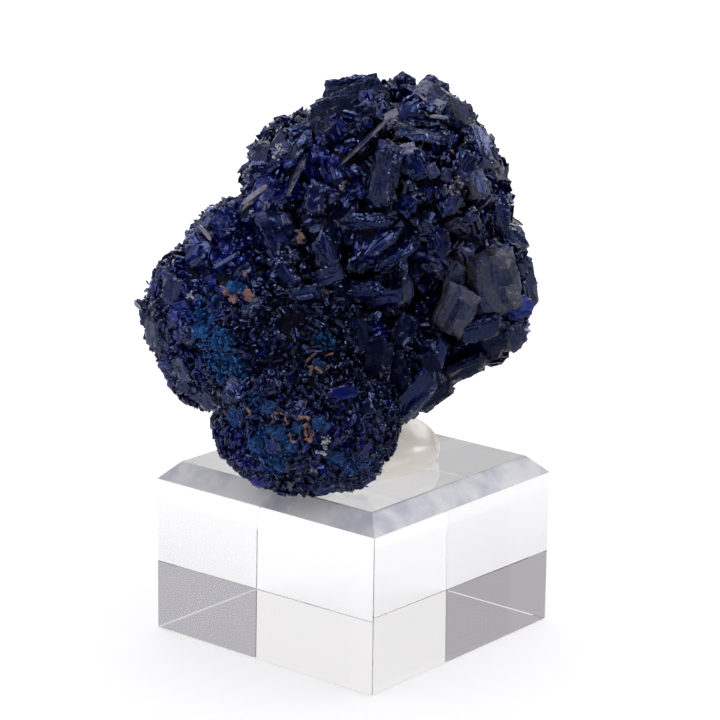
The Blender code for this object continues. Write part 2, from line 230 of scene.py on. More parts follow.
@dataclass(frozen=True)
class CrystalFinish:
    """Azurite crystal. Reads each crystal's growth colour: tone, film and azure."""

    name: str
    deep: Colour = (0.0009, 0.0030, 0.0200)
    blue: Colour = (0.003, 0.007, 0.185)
    film: Colour = (0.048, 0.048, 0.064)
    earth: Colour = (0.038, 0.026, 0.026)
    fleck: Colour = (0.26, 0.23, 0.27)
    azure: Colour = (0.006, 0.075, 0.260)
    sky: Colour = (0.030, 0.200, 0.500)
    line_width: float = 0.42
    line_length: float = 6.0
    facet_width: float = 0.7
    facet_length: float = 1.7
    facet_tilt: float = 0.5
    ior: float = 1.76
    specular: float = 0.42

    def make(self) -> bpy.types.Material:
        """Builds the material."""
        tint = (0.38, 0.50, 1.0, 1.0)
        constants = {"Specular_IOR_Level": self.specular, "Specular_Tint": tint}
        graph = Paint(self.name, IOR=self.ior, **constants)
        growth = graph.add("ShaderNodeAttribute", {"attribute_name": GROWTH_COLOUR}, output="Color")
        tone = graph.add("ShaderNodeSeparateColor", {}, {"Color": growth}, output="Red")
        film, azure = tone.also("Green"), tone.also("Blue")
        across = graph.add("ShaderNodeUVMap", {"uv_map": GROWTH_LINES})
        stretch = (1 / self.line_length, 1 / self.line_width, 1.0)
        run = graph.add("ShaderNodeMapping", values={"Vector": across, "Scale": stretch})
        lines = graph.noise(run, 1.0, detail=3.0)
        here = graph.place()
        mottle = graph.noise(here, 1.6 * MM, detail=4.0, rough=0.65)
        speck = graph.noise(here, 0.45 * MM, detail=3.0, rough=0.7)
        cloud = graph.noise(here, 7 * MM, detail=2.0)
        facets = self.facets(graph, across)
        own = graph.add("ShaderNodeSeparateColor", {}, {"Color": facets}, output="Red")
        blueness = (tone * 0.95 + mottle * 0.7 + own * 0.3 - 0.62).held()
        body = graph.mix(blueness, self.deep, self.blue)
        earthy = cloud.eased(0.52, 0.62) * (speck * 0.5 + mottle * 0.5).eased(0.48, 0.62)
        body = graph.mix(earthy * 0.55, body, self.earth)
        # The film channel holds the crystals' grey film and also the painted rim highlight.
        dust_and_rim_highlight = film * 1.3 + own.also("Green") * 0.5 + mottle * 0.7 + speck * 0.8 - 1.72
        dust_and_rim_highlight = dust_and_rim_highlight.eased(0.0, 0.8)
        body = graph.mix(dust_and_rim_highlight, body, self.film)
        flecks = own.also("Green").eased(0.90, 0.95) * (speck + mottle * 0.5).eased(0.78, 0.92)
        body = graph.mix(flecks, body, self.fleck)
        velvet = (azure * 1.2 + speck * 1.3 + mottle * 0.6 - 1.35).eased(0.0, 0.6)
        bright = graph.mix(speck.eased(0.45, 0.68), self.azure, self.sky)
        body = graph.mix(velvet * 0.9, body, bright)
        gloss = 0.04 + own.also("Blue") * 0.22 + mottle * 0.12 + dust_and_rim_highlight * 0.25 + velvet * 0.4
        height = lines * 0.8 + speck * 0.3 + mottle * 0.8
        bump = graph.bump(height, 0.10 * MM, 0.8)
        graph.links.new(self.tilted(graph, facets).socket, bump.socket.node.inputs["Normal"])
        graph.feed(Base_Color=body, Roughness=gloss.held(), Normal=bump)
        return graph.material

    def facets(self, graph: Graph, across: Wire) -> Wire:
        """A random colour for each of the small facets along a crystal's growth lines."""
        stretch = (1 / self.facet_length, 1 / self.facet_width, 1.0)
        run = graph.add("ShaderNodeMapping", values={"Vector": across, "Scale": stretch})
        values = {"Vector": run, "Scale": 1.0}
        return graph.add("ShaderNodeTexVoronoi", {"feature": "F1"}, values, output="Color")

    def tilted(self, graph: Graph, facets: Wire) -> Wire:
        """The surface's normal, with each facet tilted its own way."""
        lean = graph.add(
            "ShaderNodeVectorMath", {"operation": "SUBTRACT"}, {0: facets, 1: (0.5, 0.5, 0.5)}
        )
        lean = graph.add(
            "ShaderNodeVectorMath", {"operation": "SCALE"}, {0: lean, "Scale": self.facet_tilt}
        )
        normal = graph.add("ShaderNodeNewGeometry", output="Normal")
        total = graph.add("ShaderNodeVectorMath", {"operation": "ADD"}, {0: normal, 1: lean})
        return graph.add("ShaderNodeVectorMath", {"operation": "NORMALIZE"}, {0: total})


@dataclass(frozen=True)
class GroundFinish:
    """The dark crust that the crystals grow from, azure where its growth colour says so."""

    name: str
    dark: Colour = (0.0008, 0.0012, 0.005)
    blue: Colour = (0.004, 0.009, 0.060)
    azure: Colour = (0.002, 0.045, 0.200)

    def make(self) -> bpy.types.Material:
        """Builds the material."""
        graph = Paint(self.name, IOR=1.6, Specular_IOR_Level=0.2)
        growth = graph.add("ShaderNodeAttribute", {"attribute_name": GROWTH_COLOUR}, output="Color")
        azure = graph.add("ShaderNodeSeparateColor", {}, {"Color": growth}, output="Blue")
        here = graph.place()
        grains = graph.noise(here, 0.5 * MM, detail=5.0, rough=0.7)
        body = graph.mix(grains.eased(0.4, 0.75), self.dark, self.blue)
        body = graph.mix((azure * 1.2 + grains * 1.4 - 1.1).held(), body, self.azure)
        normal = graph.bump(grains, 0.6 * MM, 0.9)
        graph.feed(Base_Color=body, Roughness=0.4 + grains * 0.4, Normal=normal)
        return graph.material


@dataclass(frozen=True)
class EarthyFinish:
    """A dull crust of two colours: clay, or velvety azure."""

    name: str
    dark: Colour
    light: Colour
    grain: float
    relief: float
    sheen: float = 0.0

    def make(self) -> bpy.types.Material:
        """Builds the material."""
        graph = Paint(self.name, IOR=1.5, Sheen_Weight=self.sheen, Sheen_Roughness=0.5)
        here = graph.place()
        grains = graph.noise(here, self.grain, detail=5.0, rough=0.7)
        cloud = graph.noise(here, self.grain * 5, detail=2.0)
        mask = (grains * 0.7 + cloud * 0.5).eased(0.45, 0.75)
        body = graph.mix(mask, self.dark, self.light)
        normal = graph.bump(grains, self.relief, 0.9)
        graph.feed(Base_Color=body, Roughness=0.62 + grains * 0.3, Normal=normal)
        return graph.material


@dataclass(frozen=True)
class ClearFinish:
    """Clear acrylic or glue with faint scuffs, clouded by a second tint, and with a painted glow,
    where set.
    """

    name: str
    tint: Colour
    ior: float
    clearness: float
    gloss: float
    scuff_size: float
    scuff_gloss: float
    relief: float
    cloud: Colour | None = None
    glow: float = 0.0

    def make(self) -> bpy.types.Material:
        """Builds the material."""
        graph = Paint(
            self.name,
            Base_Color=(*self.tint, 1.0),
            IOR=self.ior,
            Transmission_Weight=self.clearness,
            Emission_Color=(*self.tint, 1.0),
            Emission_Strength=self.glow,
        )
        here = graph.place()
        if self.cloud:
            share = graph.noise(here, self.scuff_size * 1.5, detail=5.0).eased(0.42, 0.66)
            graph.feed(Base_Color=graph.mix(share, self.tint, self.cloud))
        scuffs = graph.noise(here, self.scuff_size, detail=4.0, rough=0.7).eased(0.5, 0.8)
        normal = graph.bump(scuffs, self.relief, 0.5)
        graph.feed(Roughness=self.gloss + scuffs * self.scuff_gloss, Normal=normal)
        return graph.material


BOX_SLACK = 0.5 * MM
GROWTH_COLOUR = "growth"
GROWTH_LINES = "growth_lines"

CRYSTAL = CrystalFinish("azurite_crystal")
GROUND = GroundFinish("azurite_crust")
PLATE = CrystalFinish(
    "azurite_plate", film=(0.074, 0.073, 0.086), facet_tilt=0.30, specular=0.36
)
# Painted shade: a darker, duller copy of the crystal finish, for plates painted as if in shadow.
SHADED = CrystalFinish("azurite_in_shade", film=(0.012, 0.013, 0.026), specular=0.12)
# Pale frosted crystal, also used for painted highlights: slivers that stand for bright streaks of
# light.
FROST_AND_HIGHLIGHT = CrystalFinish(
    "frosted_and_highlight_crystal", deep=(0.012, 0.012, 0.035), blue=(0.72, 0.67, 0.70),
    film=(0.66, 0.63, 0.64), earth=(0.34, 0.20, 0.19),
)
VELVET = EarthyFinish(
    "azure_velvet", (0.001, 0.004, 0.030), (0.012, 0.110, 0.360), 0.36 * MM, 0.5 * MM
)
CLAY = EarthyFinish("rusty_clay", (0.085, 0.040, 0.040), (0.40, 0.225, 0.19), 0.4 * MM, 0.2 * MM)
ACRYLIC = ClearFinish("clear_acrylic", (0.985, 0.988, 0.992), 1.49, 1.0, 0.0, 6 * MM, 0.03, 0.0)
# Painted light: the glue glows a little, to brighten it where the cluster shades it.
GLUE = ClearFinish(
    "milky_glue", (1.0, 0.965, 0.910), 1.46, 0.50, 0.22, 2.5 * MM, 0.12, 0.15 * MM, glow=0.09
)
CHAMFER = ClearFinish(
    "polished_chamfer", (0.97, 0.97, 0.98), 1.49, 0.1, 0.16, 5 * MM, 0.25, 0.05 * MM,
    cloud=(0.60, 0.64, 0.72),
)


# ---- The cluster's form -------------------------------------------------------------------


class Cover(Enum):
    """What grows on a lobe between its large crystals."""

    BOOKS = "fans of standing blades"
    SCALES = "thin rounded plates that overlap"
    DRUSE = "fine druse"


@dataclass(frozen=True)
class Lobe:
    """An ellipsoid of the cluster's body, in millimetres on the cluster's axes.

    The crystals' tips reach it, and the crust lies core_depth under it. Grain sets how coarse
    its small crystals are.
    """

    centre: Triple
    radii: Triple
    core_depth: float
    grain: float
    cover: Cover = Cover.BOOKS

    def surface(self, directions: np.ndarray) -> tuple[np.ndarray, np.ndarray]:
        """The points that unit directions lead to, and the normals there."""
        points = np.array(self.centre) + directions * self.radii
        normals = directions / self.radii
        return points, normals / np.linalg.norm(normals, axis=1, keepdims=True)

    def depth(self, points: np.ndarray) -> np.ndarray:
        """0 at the centre, 1 on the surface and more outside, for each point."""
        return np.linalg.norm((points - self.centre) / self.radii, axis=1)

    def area(self) -> float:
        """About the area of the surface, from the mean radius."""
        return 4 * math.pi * (sum(self.radii) / 3) ** 2


LOBES = {
    "crown": Lobe((4.5, 2.0, 63.4), (17.2, 16.5, 16.4), 2.8, 0.95),
    "temple": Lobe((-7.0, 2.0, 64.6), (10.0, 11.5, 10.4), 2.4, 0.85),
    "collar": Lobe((-15.2, 0.0, 56.0), (9.2, 9.0, 7.4), 2.0, 0.8, Cover.SCALES),
    "shoulder": Lobe((11.2, 3.0, 61.2), (11.0, 12.5, 14.0), 2.8, 0.8),
    "body": Lobe((0.0, 1.0, 45.0), (15.5, 14.0, 13.5), 2.4, 0.85),
    "left": Lobe((-17.6, -3.0, 46.8), (12.9, 11.5, 12.6), 1.6, 0.8, Cover.SCALES),
    "chin": Lobe((-20.2, -4.0, 41.6), (7.8, 8.4, 8.8), 1.6, 0.65, Cover.SCALES),
    "foot": Lobe((-6.7, -16.6, 35.0), (13.1, 9.6, 10.2), 1.2, 0.55, Cover.DRUSE),
    "seat": Lobe((-1.0, -5.0, 37.0), (9.2, 9.0, 8.5), 0.0, 0.6, Cover.DRUSE),
    "shelf": Lobe((17.0, 2.0, 50.0), (8.6, 11.0, 12.2), 2.4, 1.0),
    "heel": Lobe((9.2, 0.0, 41.6), (7.4, 8.8, 7.6), 2.0, 0.8),
    "back": Lobe((-3.0, 12.0, 54.0), (15.0, 12.0, 15.0), 2.8, 1.0),
    "saddle": Lobe((-7.0, -5.0, 53.0), (9.0, 8.5, 9.5), 2.0, 0.75),
    "apron": Lobe((-9.5, -9.0, 43.5), (13.5, 11.0, 11.5), 1.6, 0.6, Cover.DRUSE),
    "waist": Lobe((2.0, -8.0, 40.5), (9.0, 9.0, 9.5), 1.6, 0.65, Cover.DRUSE),
    "toe": Lobe((-0.6, -15.8, 33.0), (5.2, 8.0, 7.6), 1.6, 0.55, Cover.DRUSE),
}
SUNK = 0.88


def to_world(points: np.ndarray) -> np.ndarray:
    """Points in millimetres on the cluster's axes, as world points in metres."""
    return points @ CLUSTER_TURN.T * MM


def spiral(count: int) -> np.ndarray:
    """Unit directions spread evenly over a sphere, one a row."""
    steps = np.arange(count)
    height = 1 - 2 * (steps + 0.5) / count
    ring = np.sqrt(1 - height * height)
    angle = steps * GOLDEN_ANGLE
    return np.stack((ring * np.cos(angle), ring * np.sin(angle), height), axis=1)


@dataclass(frozen=True)
class ShowView:
    """Where the show face is seen from, over the middle of the block's underside."""

    azimuth: float = math.radians(39.42)
    elevation: float = math.radians(15.11)
    roll: float = math.radians(0.72)
    distance: float = 0.3976
    slide: float = 0.56 * MM
    rise: float = 38.2 * MM

    def axes(self) -> tuple[Vector, Vector, Vector]:
        """The view's right, its up and the way back to the eye."""
        level = math.cos(self.elevation)
        ahead = Vector((-math.sin(self.azimuth), math.cos(self.azimuth), 0.0))
        back = Vector((*(-level * ahead.xy), math.sin(self.elevation)))
        right = Vector((math.cos(self.azimuth), math.sin(self.azimuth), 0.0))
        up = back.cross(right)
        cos, sin = math.cos(self.roll), math.sin(self.roll)
        return right * cos + up * sin, up * cos - right * sin, back

    def eye(self) -> Vector:
        """Where it is seen from."""
        back = self.axes()[2]
        right = Vector((math.cos(self.azimuth), math.sin(self.azimuth), 0.0))
        return back * self.distance + right * self.slide + back.cross(right) * self.rise

    def hit(self, across: float, height: float) -> tuple[np.ndarray, np.ndarray]:
        """The point of the cluster seen at a place of the view.

        Args:
            across: Millimetres to the right of the view's middle.
            height: Millimetres above it.

        Returns:
            The point in millimetres on the cluster's axes, and the surface's normal there.
        """
        right, up, back = self.axes()
        ahead = (right * across + up * height) * MM - back * self.distance
        start = np.array(self.eye()) @ CLUSTER_TURN / MM
        ray = np.array(ahead.normalized()) @ CLUSTER_TURN
        best = None
        for lobe in LOBES.values():
            offset, step = (start - lobe.centre) / lobe.radii, ray / lobe.radii
            half, square = offset @ step, step @ step
            root = half * half - square * (offset @ offset - 1)
            if root > 0 and (best is None or -half - math.sqrt(root) < best[0] * square):
                far = (-half - math.sqrt(root)) / square
                normal = (start + ray * far - lobe.centre) / np.square(lobe.radii)
                best = far, normal / np.linalg.norm(normal)
        if best is None:
            raise ValueError(f"nothing is seen at {across}, {height}")
        return start + ray * best[0], best[1]


VIEW = ShowView()


def outside_others(points: np.ndarray, own: str, sunk: float = SUNK) -> np.ndarray:
    """Which points of a lobe don't lie inside another lobe."""
    clear = np.ones(len(points), bool)
    for name, lobe in LOBES.items():
        if name != own:
            clear &= lobe.depth(points) >= sunk
    return clear


def clear_of_mount(points: np.ndarray) -> np.ndarray:
    """Which world points, on the last axis, lie above the block and outside the dome."""
    radius = (DOME_RADIUS**2 + DOME_HEIGHT**2) / (2 * DOME_HEIGHT)
    centre = np.array((0, 0, BLOCK_HEIGHT + TOUCH_GAP + DOME_HEIGHT - radius))
    outside = np.linalg.norm(points - centre, axis=-1) > radius + MOUNT_GAP
    return outside & (points[..., 2] > BLOCK_HEIGHT + MOUNT_GAP)


# ---- Meshes joined from many crystals -----------------------------------------------------


@dataclass
class Template:
    """A crystal of unit length, width and thickness, ready to be repeated.

    Rims is 1 at the corners of its side faces and 0 at those of its plate faces.
    """

    points: np.ndarray
    corners: np.ndarray
    starts: np.ndarray
    rims: np.ndarray

    @classmethod
    def read(cls, bm: bmesh.types.BMesh) -> "Template":
        """Reads a bmesh and frees it."""
        bm.verts.index_update()
        bm.normal_update()
        rims = np.array([float(abs(f.normal.z) < 0.6) for f in bm.faces for _ in f.verts])
        points = np.array([v.co[:] for v in bm.verts])
        corners = np.array([v.index for f in bm.faces for v in f.verts])
        counts = [len(f.verts) for f in bm.faces]
        bm.free()
        return cls(points, corners, np.cumsum([0, *counts[:-1]]), rims)


@dataclass
class CrystalMass:
    """Crystals gathered to be joined in one piece, their rims painted lighter than their faces as a
    painted highlight.
    """

    name: str
    painted_rim_highlight: tuple[float, float] = (0.05, 0.60)
    smooth_angle: float = 0.0
    line_scale: float = 1.0
    points: list[np.ndarray] = field(default_factory=list)
    corners: list[np.ndarray] = field(default_factory=list)
    starts: list[np.ndarray] = field(default_factory=list)
    lines: list[np.ndarray] = field(default_factory=list)
    growth: list[np.ndarray] = field(default_factory=list)
    point_count: int = 0
    corner_count: int = 0

    def add(
        self,
        template: Template,
        axes: np.ndarray,
        middles: np.ndarray,
        sizes: np.ndarray,
        growth: np.ndarray,
    ) -> None:
        """Adds copies of a template.

        Args:
            template: The crystal to repeat.
            axes: For each copy, the directions of its length, width and thickness as columns.
            middles: For each copy, its middle, a world point.
            sizes: For each copy, its length, width and thickness in metres.
            growth: For each copy, its tone, film and azure.
        """
        count, size = len(middles), len(template.points)
        if count == 0:
            return
        local = template.points[None] * sizes[:, None, :]
        placed = np.einsum("nij,nkj->nki", axes, local) + middles[:, None, :]
        low, high = (np.array(side) for side in CAD_BOX)
        inside = ((placed > low - BOX_SLACK) & (placed < high + BOX_SLACK)).all(axis=(1, 2))
        placed, local, growth = placed[inside], local[inside], growth[inside]
        count = len(placed)
        firsts = self.point_count + np.arange(count) * size
        corner_firsts = self.corner_count + np.arange(count) * len(template.corners)
        shift = np.stack((np.arange(count) * 7.31 % 53.0, np.arange(count) * 3.77 % 41.0), axis=1)
        lines = local[:, template.corners, :2] / MM * self.line_scale + shift[:, None, :]
        self.points.append(placed.reshape(-1, 3))
        self.corners.append((firsts[:, None] + template.corners[None]).ravel())
        self.starts.append((corner_firsts[:, None] + template.starts[None]).ravel())
        self.lines.append(lines.reshape(-1, 2))
        colour = np.repeat(growth[:, None], len(template.corners), axis=1)
        # Painted highlight: the side faces' corners get extra film, so the rims look lit.
        low, high = self.painted_rim_highlight
        colour[:, :, 1] += template.rims * (low + shift[:, :1] / 53.0 * (high - low))
        self.growth.append(np.clip(colour, 0, 1).reshape(-1, 3))
        self.point_count += count * size
        self.corner_count += count * len(template.corners)

    def build(self, finish: bpy.types.Material, node: str, slot: str) -> bpy.types.Object:
        """Joins the crystals to one object and rides it on the part."""
        points = np.concatenate(self.points)
        corners = np.concatenate(self.corners)
        starts = np.concatenate(self.starts)
        mesh = bpy.data.meshes.new(self.name)
        mesh.vertices.add(len(points))
        mesh.vertices.foreach_set("co", points.astype(np.float32).ravel())
        mesh.loops.add(len(corners))
        mesh.loops.foreach_set("vertex_index", corners.astype(np.int32))
        mesh.polygons.add(len(starts))
        mesh.polygons.foreach_set("loop_start", starts.astype(np.int32))
        mesh.update(calc_edges=True)
        mesh.shade_flat()
        uv = mesh.uv_layers.new(name=GROWTH_LINES)
        uv.data.foreach_set("uv", np.concatenate(self.lines).astype(np.float32).ravel())
        growth = np.concatenate(self.growth)
        rgba = np.concatenate((growth, np.ones((len(growth), 1))), axis=1)
        colour = mesh.attributes.new(GROWTH_COLOUR, "FLOAT_COLOR", "CORNER")
        colour.data.foreach_set("color", rgba.astype(np.float32).ravel())
        if self.smooth_angle:
            mesh.shade_smooth()
            mesh.set_sharp_from_angle(angle=self.smooth_angle)
        return dress(bpy.data.objects.new(self.name, mesh), finish, node)


def dress(
    piece: bpy.types.Object, finish: bpy.types.Material, node: str
) -> bpy.types.Object:
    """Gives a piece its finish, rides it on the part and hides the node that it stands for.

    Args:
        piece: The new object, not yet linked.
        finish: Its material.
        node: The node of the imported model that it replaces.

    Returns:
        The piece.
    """
    bpy.context.scene.collection.objects.link(piece)
    piece.data.materials.clear()
    piece.data.materials.append(finish)
    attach(piece, "root")
    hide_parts(node)
    LOG.info("%s: %d faces", piece.name, len(piece.data.polygons))
    return piece


# ---- Large crystals -----------------------------------------------------------------------


class Shade(Enum):
    """How a leading crystal looks: its tone, film and azure."""

    INDIGO = (0.25, 0.10, 0.0)
    BLUE = (0.55, 0.08, 0.0)
    GREY = (0.20, 0.40, 0.0)
    PALE = (0.25, 0.95, 0.0)
    # Painted shade: plates painted dark as if in shadow, given the darker, duller finish.
    PAINTED_SHADE = (0.05, 0.05, 0.0)
    NAVY = (0.40, 0.0, 0.0)
    # Also painted highlights: the pale slivers that stand for bright streaks along blade edges.
    FROST_AND_HIGHLIGHT = (0.42, 0.30, 0.0)
    GLINT = (1.00, 0.00, 0.25)


class Habit(Enum):
    """How a large crystal is made up."""

    SMOOTH = "a plate with a few thin steps on its faces"
    RIDGED = "slats side by side, with stepped ends"
    SCALY = "a packet of thin rounded plates"


@dataclass(frozen=True)
class Leader:
    """A crystal that stands out, in its own place.

    The centre is (right, back, up) and the size (length, width, thickness), in millimetres. The
    facing is the plate's bearing to the right of the show direction, its elevation, and the turn
    of its length to the right of upright, in degrees. Reaches gives its corners' distances from
    the middle in turn, as shares of half the size; without it they are drawn at random.
    """

    centre: Triple
    facing: Triple
    size: Triple
    shade: Shade = Shade.INDIGO
    habit: Habit = Habit.RIDGED
    reaches: tuple[float, ...] = ()


SLAB = (0.98, 1.32, 0.95, 1.25, 1.02, 1.34, 0.97, 1.22)
DISC = (1.0, 0.97, 1.03, 0.98, 0.95, 1.0, 0.92, 1.02, 0.97, 1.0)
SLANTED = (1.05, 1.36, 0.9, 1.05, 1.02, 1.30, 0.86, 1.0)
LEADERS = {
    "summit_plate": Leader(
        (-1.4, -3.4, 76.0), (-12, 48, 60), (11.6, 9.0, 1.2), Shade.PAINTED_SHADE, Habit.SMOOTH, SLANTED
    ),
    "left_horn": Leader(
        (-1.0, 0.4, 77.4), (-20, 10, 80), (8.6, 5.6, 1.0), Shade.GREY, Habit.SMOOTH, SLAB
    ),
    "leaning_sliver": Leader(
        (0.6, -10.6, 72.8), (-92, 46, 2), (8.6, 4.4, 0.6), Shade.PALE, Habit.SMOOTH, SLANTED
    ),
    "leaning_edge": Leader(
        (-8.6, -8.4, 67.6), (-80, 28, 5), (5.4, 4.0, 0.6), Shade.PALE, Habit.SMOOTH, SLANTED
    ),
    "top_knob": Leader((6.0, 2.0, 78.0), (10, 15, 5), (6.4, 4.4, 2.4)),
    "top_ridge": Leader((10.2, 1.0, 77.4), (20, 20, 60), (6.6, 6.4, 2.2)),
    "brow_disc": Leader(
        (8.6, -5.5, 74.8), (40, 66, -60), (12.6, 10.4, 1.2), Shade.INDIGO, Habit.SMOOTH, DISC
    ),
    "roof_plate": Leader(
        (14.0, 1.0, 73.4), (65, 35, 0), (13.2, 9.0, 1.8), Shade.INDIGO, Habit.SMOOTH
    ),
    "roof_block": Leader(
        (19.2, -1.5, 67.0), (30, 20, 10), (3.0, 2.6, 2.2), Shade.FROST_AND_HIGHLIGHT, Habit.SMOOTH
    ),
    "standing_blade": Leader(
        (3.5, -13.6, 69.0), (-10, 5, 12), (9.5, 4.2, 1.8), Shade.GREY, Habit.RIDGED, SLAB
    ),
    "shingle": Leader((7.2, -12.4, 69.8), (10, 45, 80), (3.6, 2.6, 1.2), Shade.PALE),
    "ledge": Leader((1.5, -14.0, 62.7), (-5, -25, 85), (10.0, 3.4, 2.0), Shade.GREY),
    "twin_blade_a": Leader((3.3, -13.8, 59.7), (-25, 20, 48), (8.5, 2.6, 1.4)),
    "twin_blade_b": Leader((5.4, -13.2, 58.0), (-25, 20, 50), (8.5, 2.4, 1.4)),
    "cheek_block": Leader((12.5, -11.5, 65.0), (20, 20, 30), (5.0, 3.6, 1.8), Shade.GREY),
    "cheek_blade": Leader((11.2, -12.0, 59.6), (10, 10, -5), (6.0, 4.0, 1.4)),
    "edge_plate": Leader((19.8, -4.0, 62.0), (45, 10, 0), (7.0, 4.6, 1.8), Shade.GREY),
    "temple_plate": Leader((-12.6, -4.5, 68.8), (-45, 35, 40), (7.0, 5.4, 1.8), Shade.BLUE),
    "left_sliver": Leader(
        (-14.0, -5.4, 64.0), (-95, 48, 0), (5.4, 3.4, 0.6), Shade.PALE, Habit.SMOOTH, SLANTED
    ),
    "violet_plate": Leader(
        (-15.4, -4.4, 59.5), (-25, 25, 20), (7.0, 6.5, 1.4), Shade.BLUE, Habit.SMOOTH, DISC
    ),
    "grey_slab": Leader(
        (-10.0, -8.6, 58.6), (10, 20, -20), (10.4, 6.4, 1.8), Shade.GREY, Habit.SMOOTH, SLANTED
    ),
    "inner_wall": Leader((-4.0, -12.0, 57.8), (20, 10, -10), (7.0, 5.0, 1.6)),
    "mid_ledge": Leader((1.0, -12.2, 52.4), (0, -20, 85), (7.0, 3.6, 1.6)),
    "mid_blade": Leader((7.0, -11.2, 52.7), (25, 5, -5), (5.5, 2.2, 1.2), Shade.PALE),
    "right_ledge": Leader((21.4, -1.0, 57.8), (45, 30, -60), (7.0, 5.4, 1.8), Shade.GREY),
    "right_point": Leader(
        (23.8, -0.8, 51.4), (55, 5, -5), (8.8, 5.0, 1.6), Shade.GREY, Habit.SMOOTH, SLANTED
    ),
    "shelf_slab": Leader(
        (19.2, -8.0, 53.0), (18, 4, -8), (9.4, 7.6, 2.6), Shade.PALE, Habit.SMOOTH, SLAB
    ),
    "shelf_step": Leader(
        (13.6, -9.6, 49.4), (-12, -6, 25), (7.4, 5.6, 1.8), Shade.PALE, Habit.RIDGED, SLAB
    ),
    "shelf_fan": Leader(
        (17.0, -9.0, 46.6), (5, -18, 75), (6.4, 4.4, 1.6), Shade.GREY, Habit.SMOOTH, SLANTED
    ),
    "glint_face": Leader(
        (22.8, -5.2, 48.8), (25, 25, 80), (4.8, 3.4, 1.4), Shade.GLINT, Habit.SMOOTH
    ),
    "round_plate": Leader(
        (22.0, -4.5, 44.4), (20, 5, 0), (4.6, 4.4, 1.4), Shade.PALE, Habit.SMOOTH, DISC
    ),
    "under_plate": Leader(
        (16.6, -5.8, 42.2), (8, -28, 66), (9.6, 6.0, 1.6), Shade.PAINTED_SHADE, Habit.SMOOTH, SLANTED
    ),
    "tail_facet": Leader((9.6, -10.4, 43.6), (-10, 10, 40), (5.0, 3.6, 1.4), Shade.GREY),
    "tail_blade": Leader((11.2, -9.8, 42.6), (35, -10, 5), (6.8, 3.4, 1.5), Shade.BLUE),
    "tail_plate": Leader((7.4, -7.8, 36.6), (5, -15, 30), (6.0, 5.0, 1.8)),
    "left_plate": Leader(
        (-22.0, -8.4, 56.6), (-35, 25, 40), (6.0, 5.0, 1.4), Shade.BLUE, Habit.SCALY, DISC
    ),
    "left_facet": Leader(
        (-23.5, -12.2, 46.4), (-30, 0, 10), (4.6, 4.2, 1.4), Shade.INDIGO, Habit.SCALY, DISC
    ),
    "blue_lens": Leader((-1.6, -21.6, 40.0), (0, 10, 85), (4.8, 2.4, 1.4), Shade.BLUE),
}


@dataclass(frozen=True)
class Shard:
    """A middling plate on the show face, at a place of the view, in millimetres.

    Lift is how far its middle stands out from the lobes; the rest is as a leader's.
    """

    across: float
    height: float
    lift: float
    facing: Triple
    size: Triple
    shade: Shade = Shade.INDIGO
    habit: Habit = Habit.RIDGED
    reaches: tuple[float, ...] = SLAB

    def leader(self) -> Leader:
        """The leader that it amounts to."""
        point, normal = VIEW.hit(self.across, self.height)
        centre = tuple(point + normal * self.lift)
        return Leader(centre, self.facing, self.size, self.shade, self.habit, self.reaches)


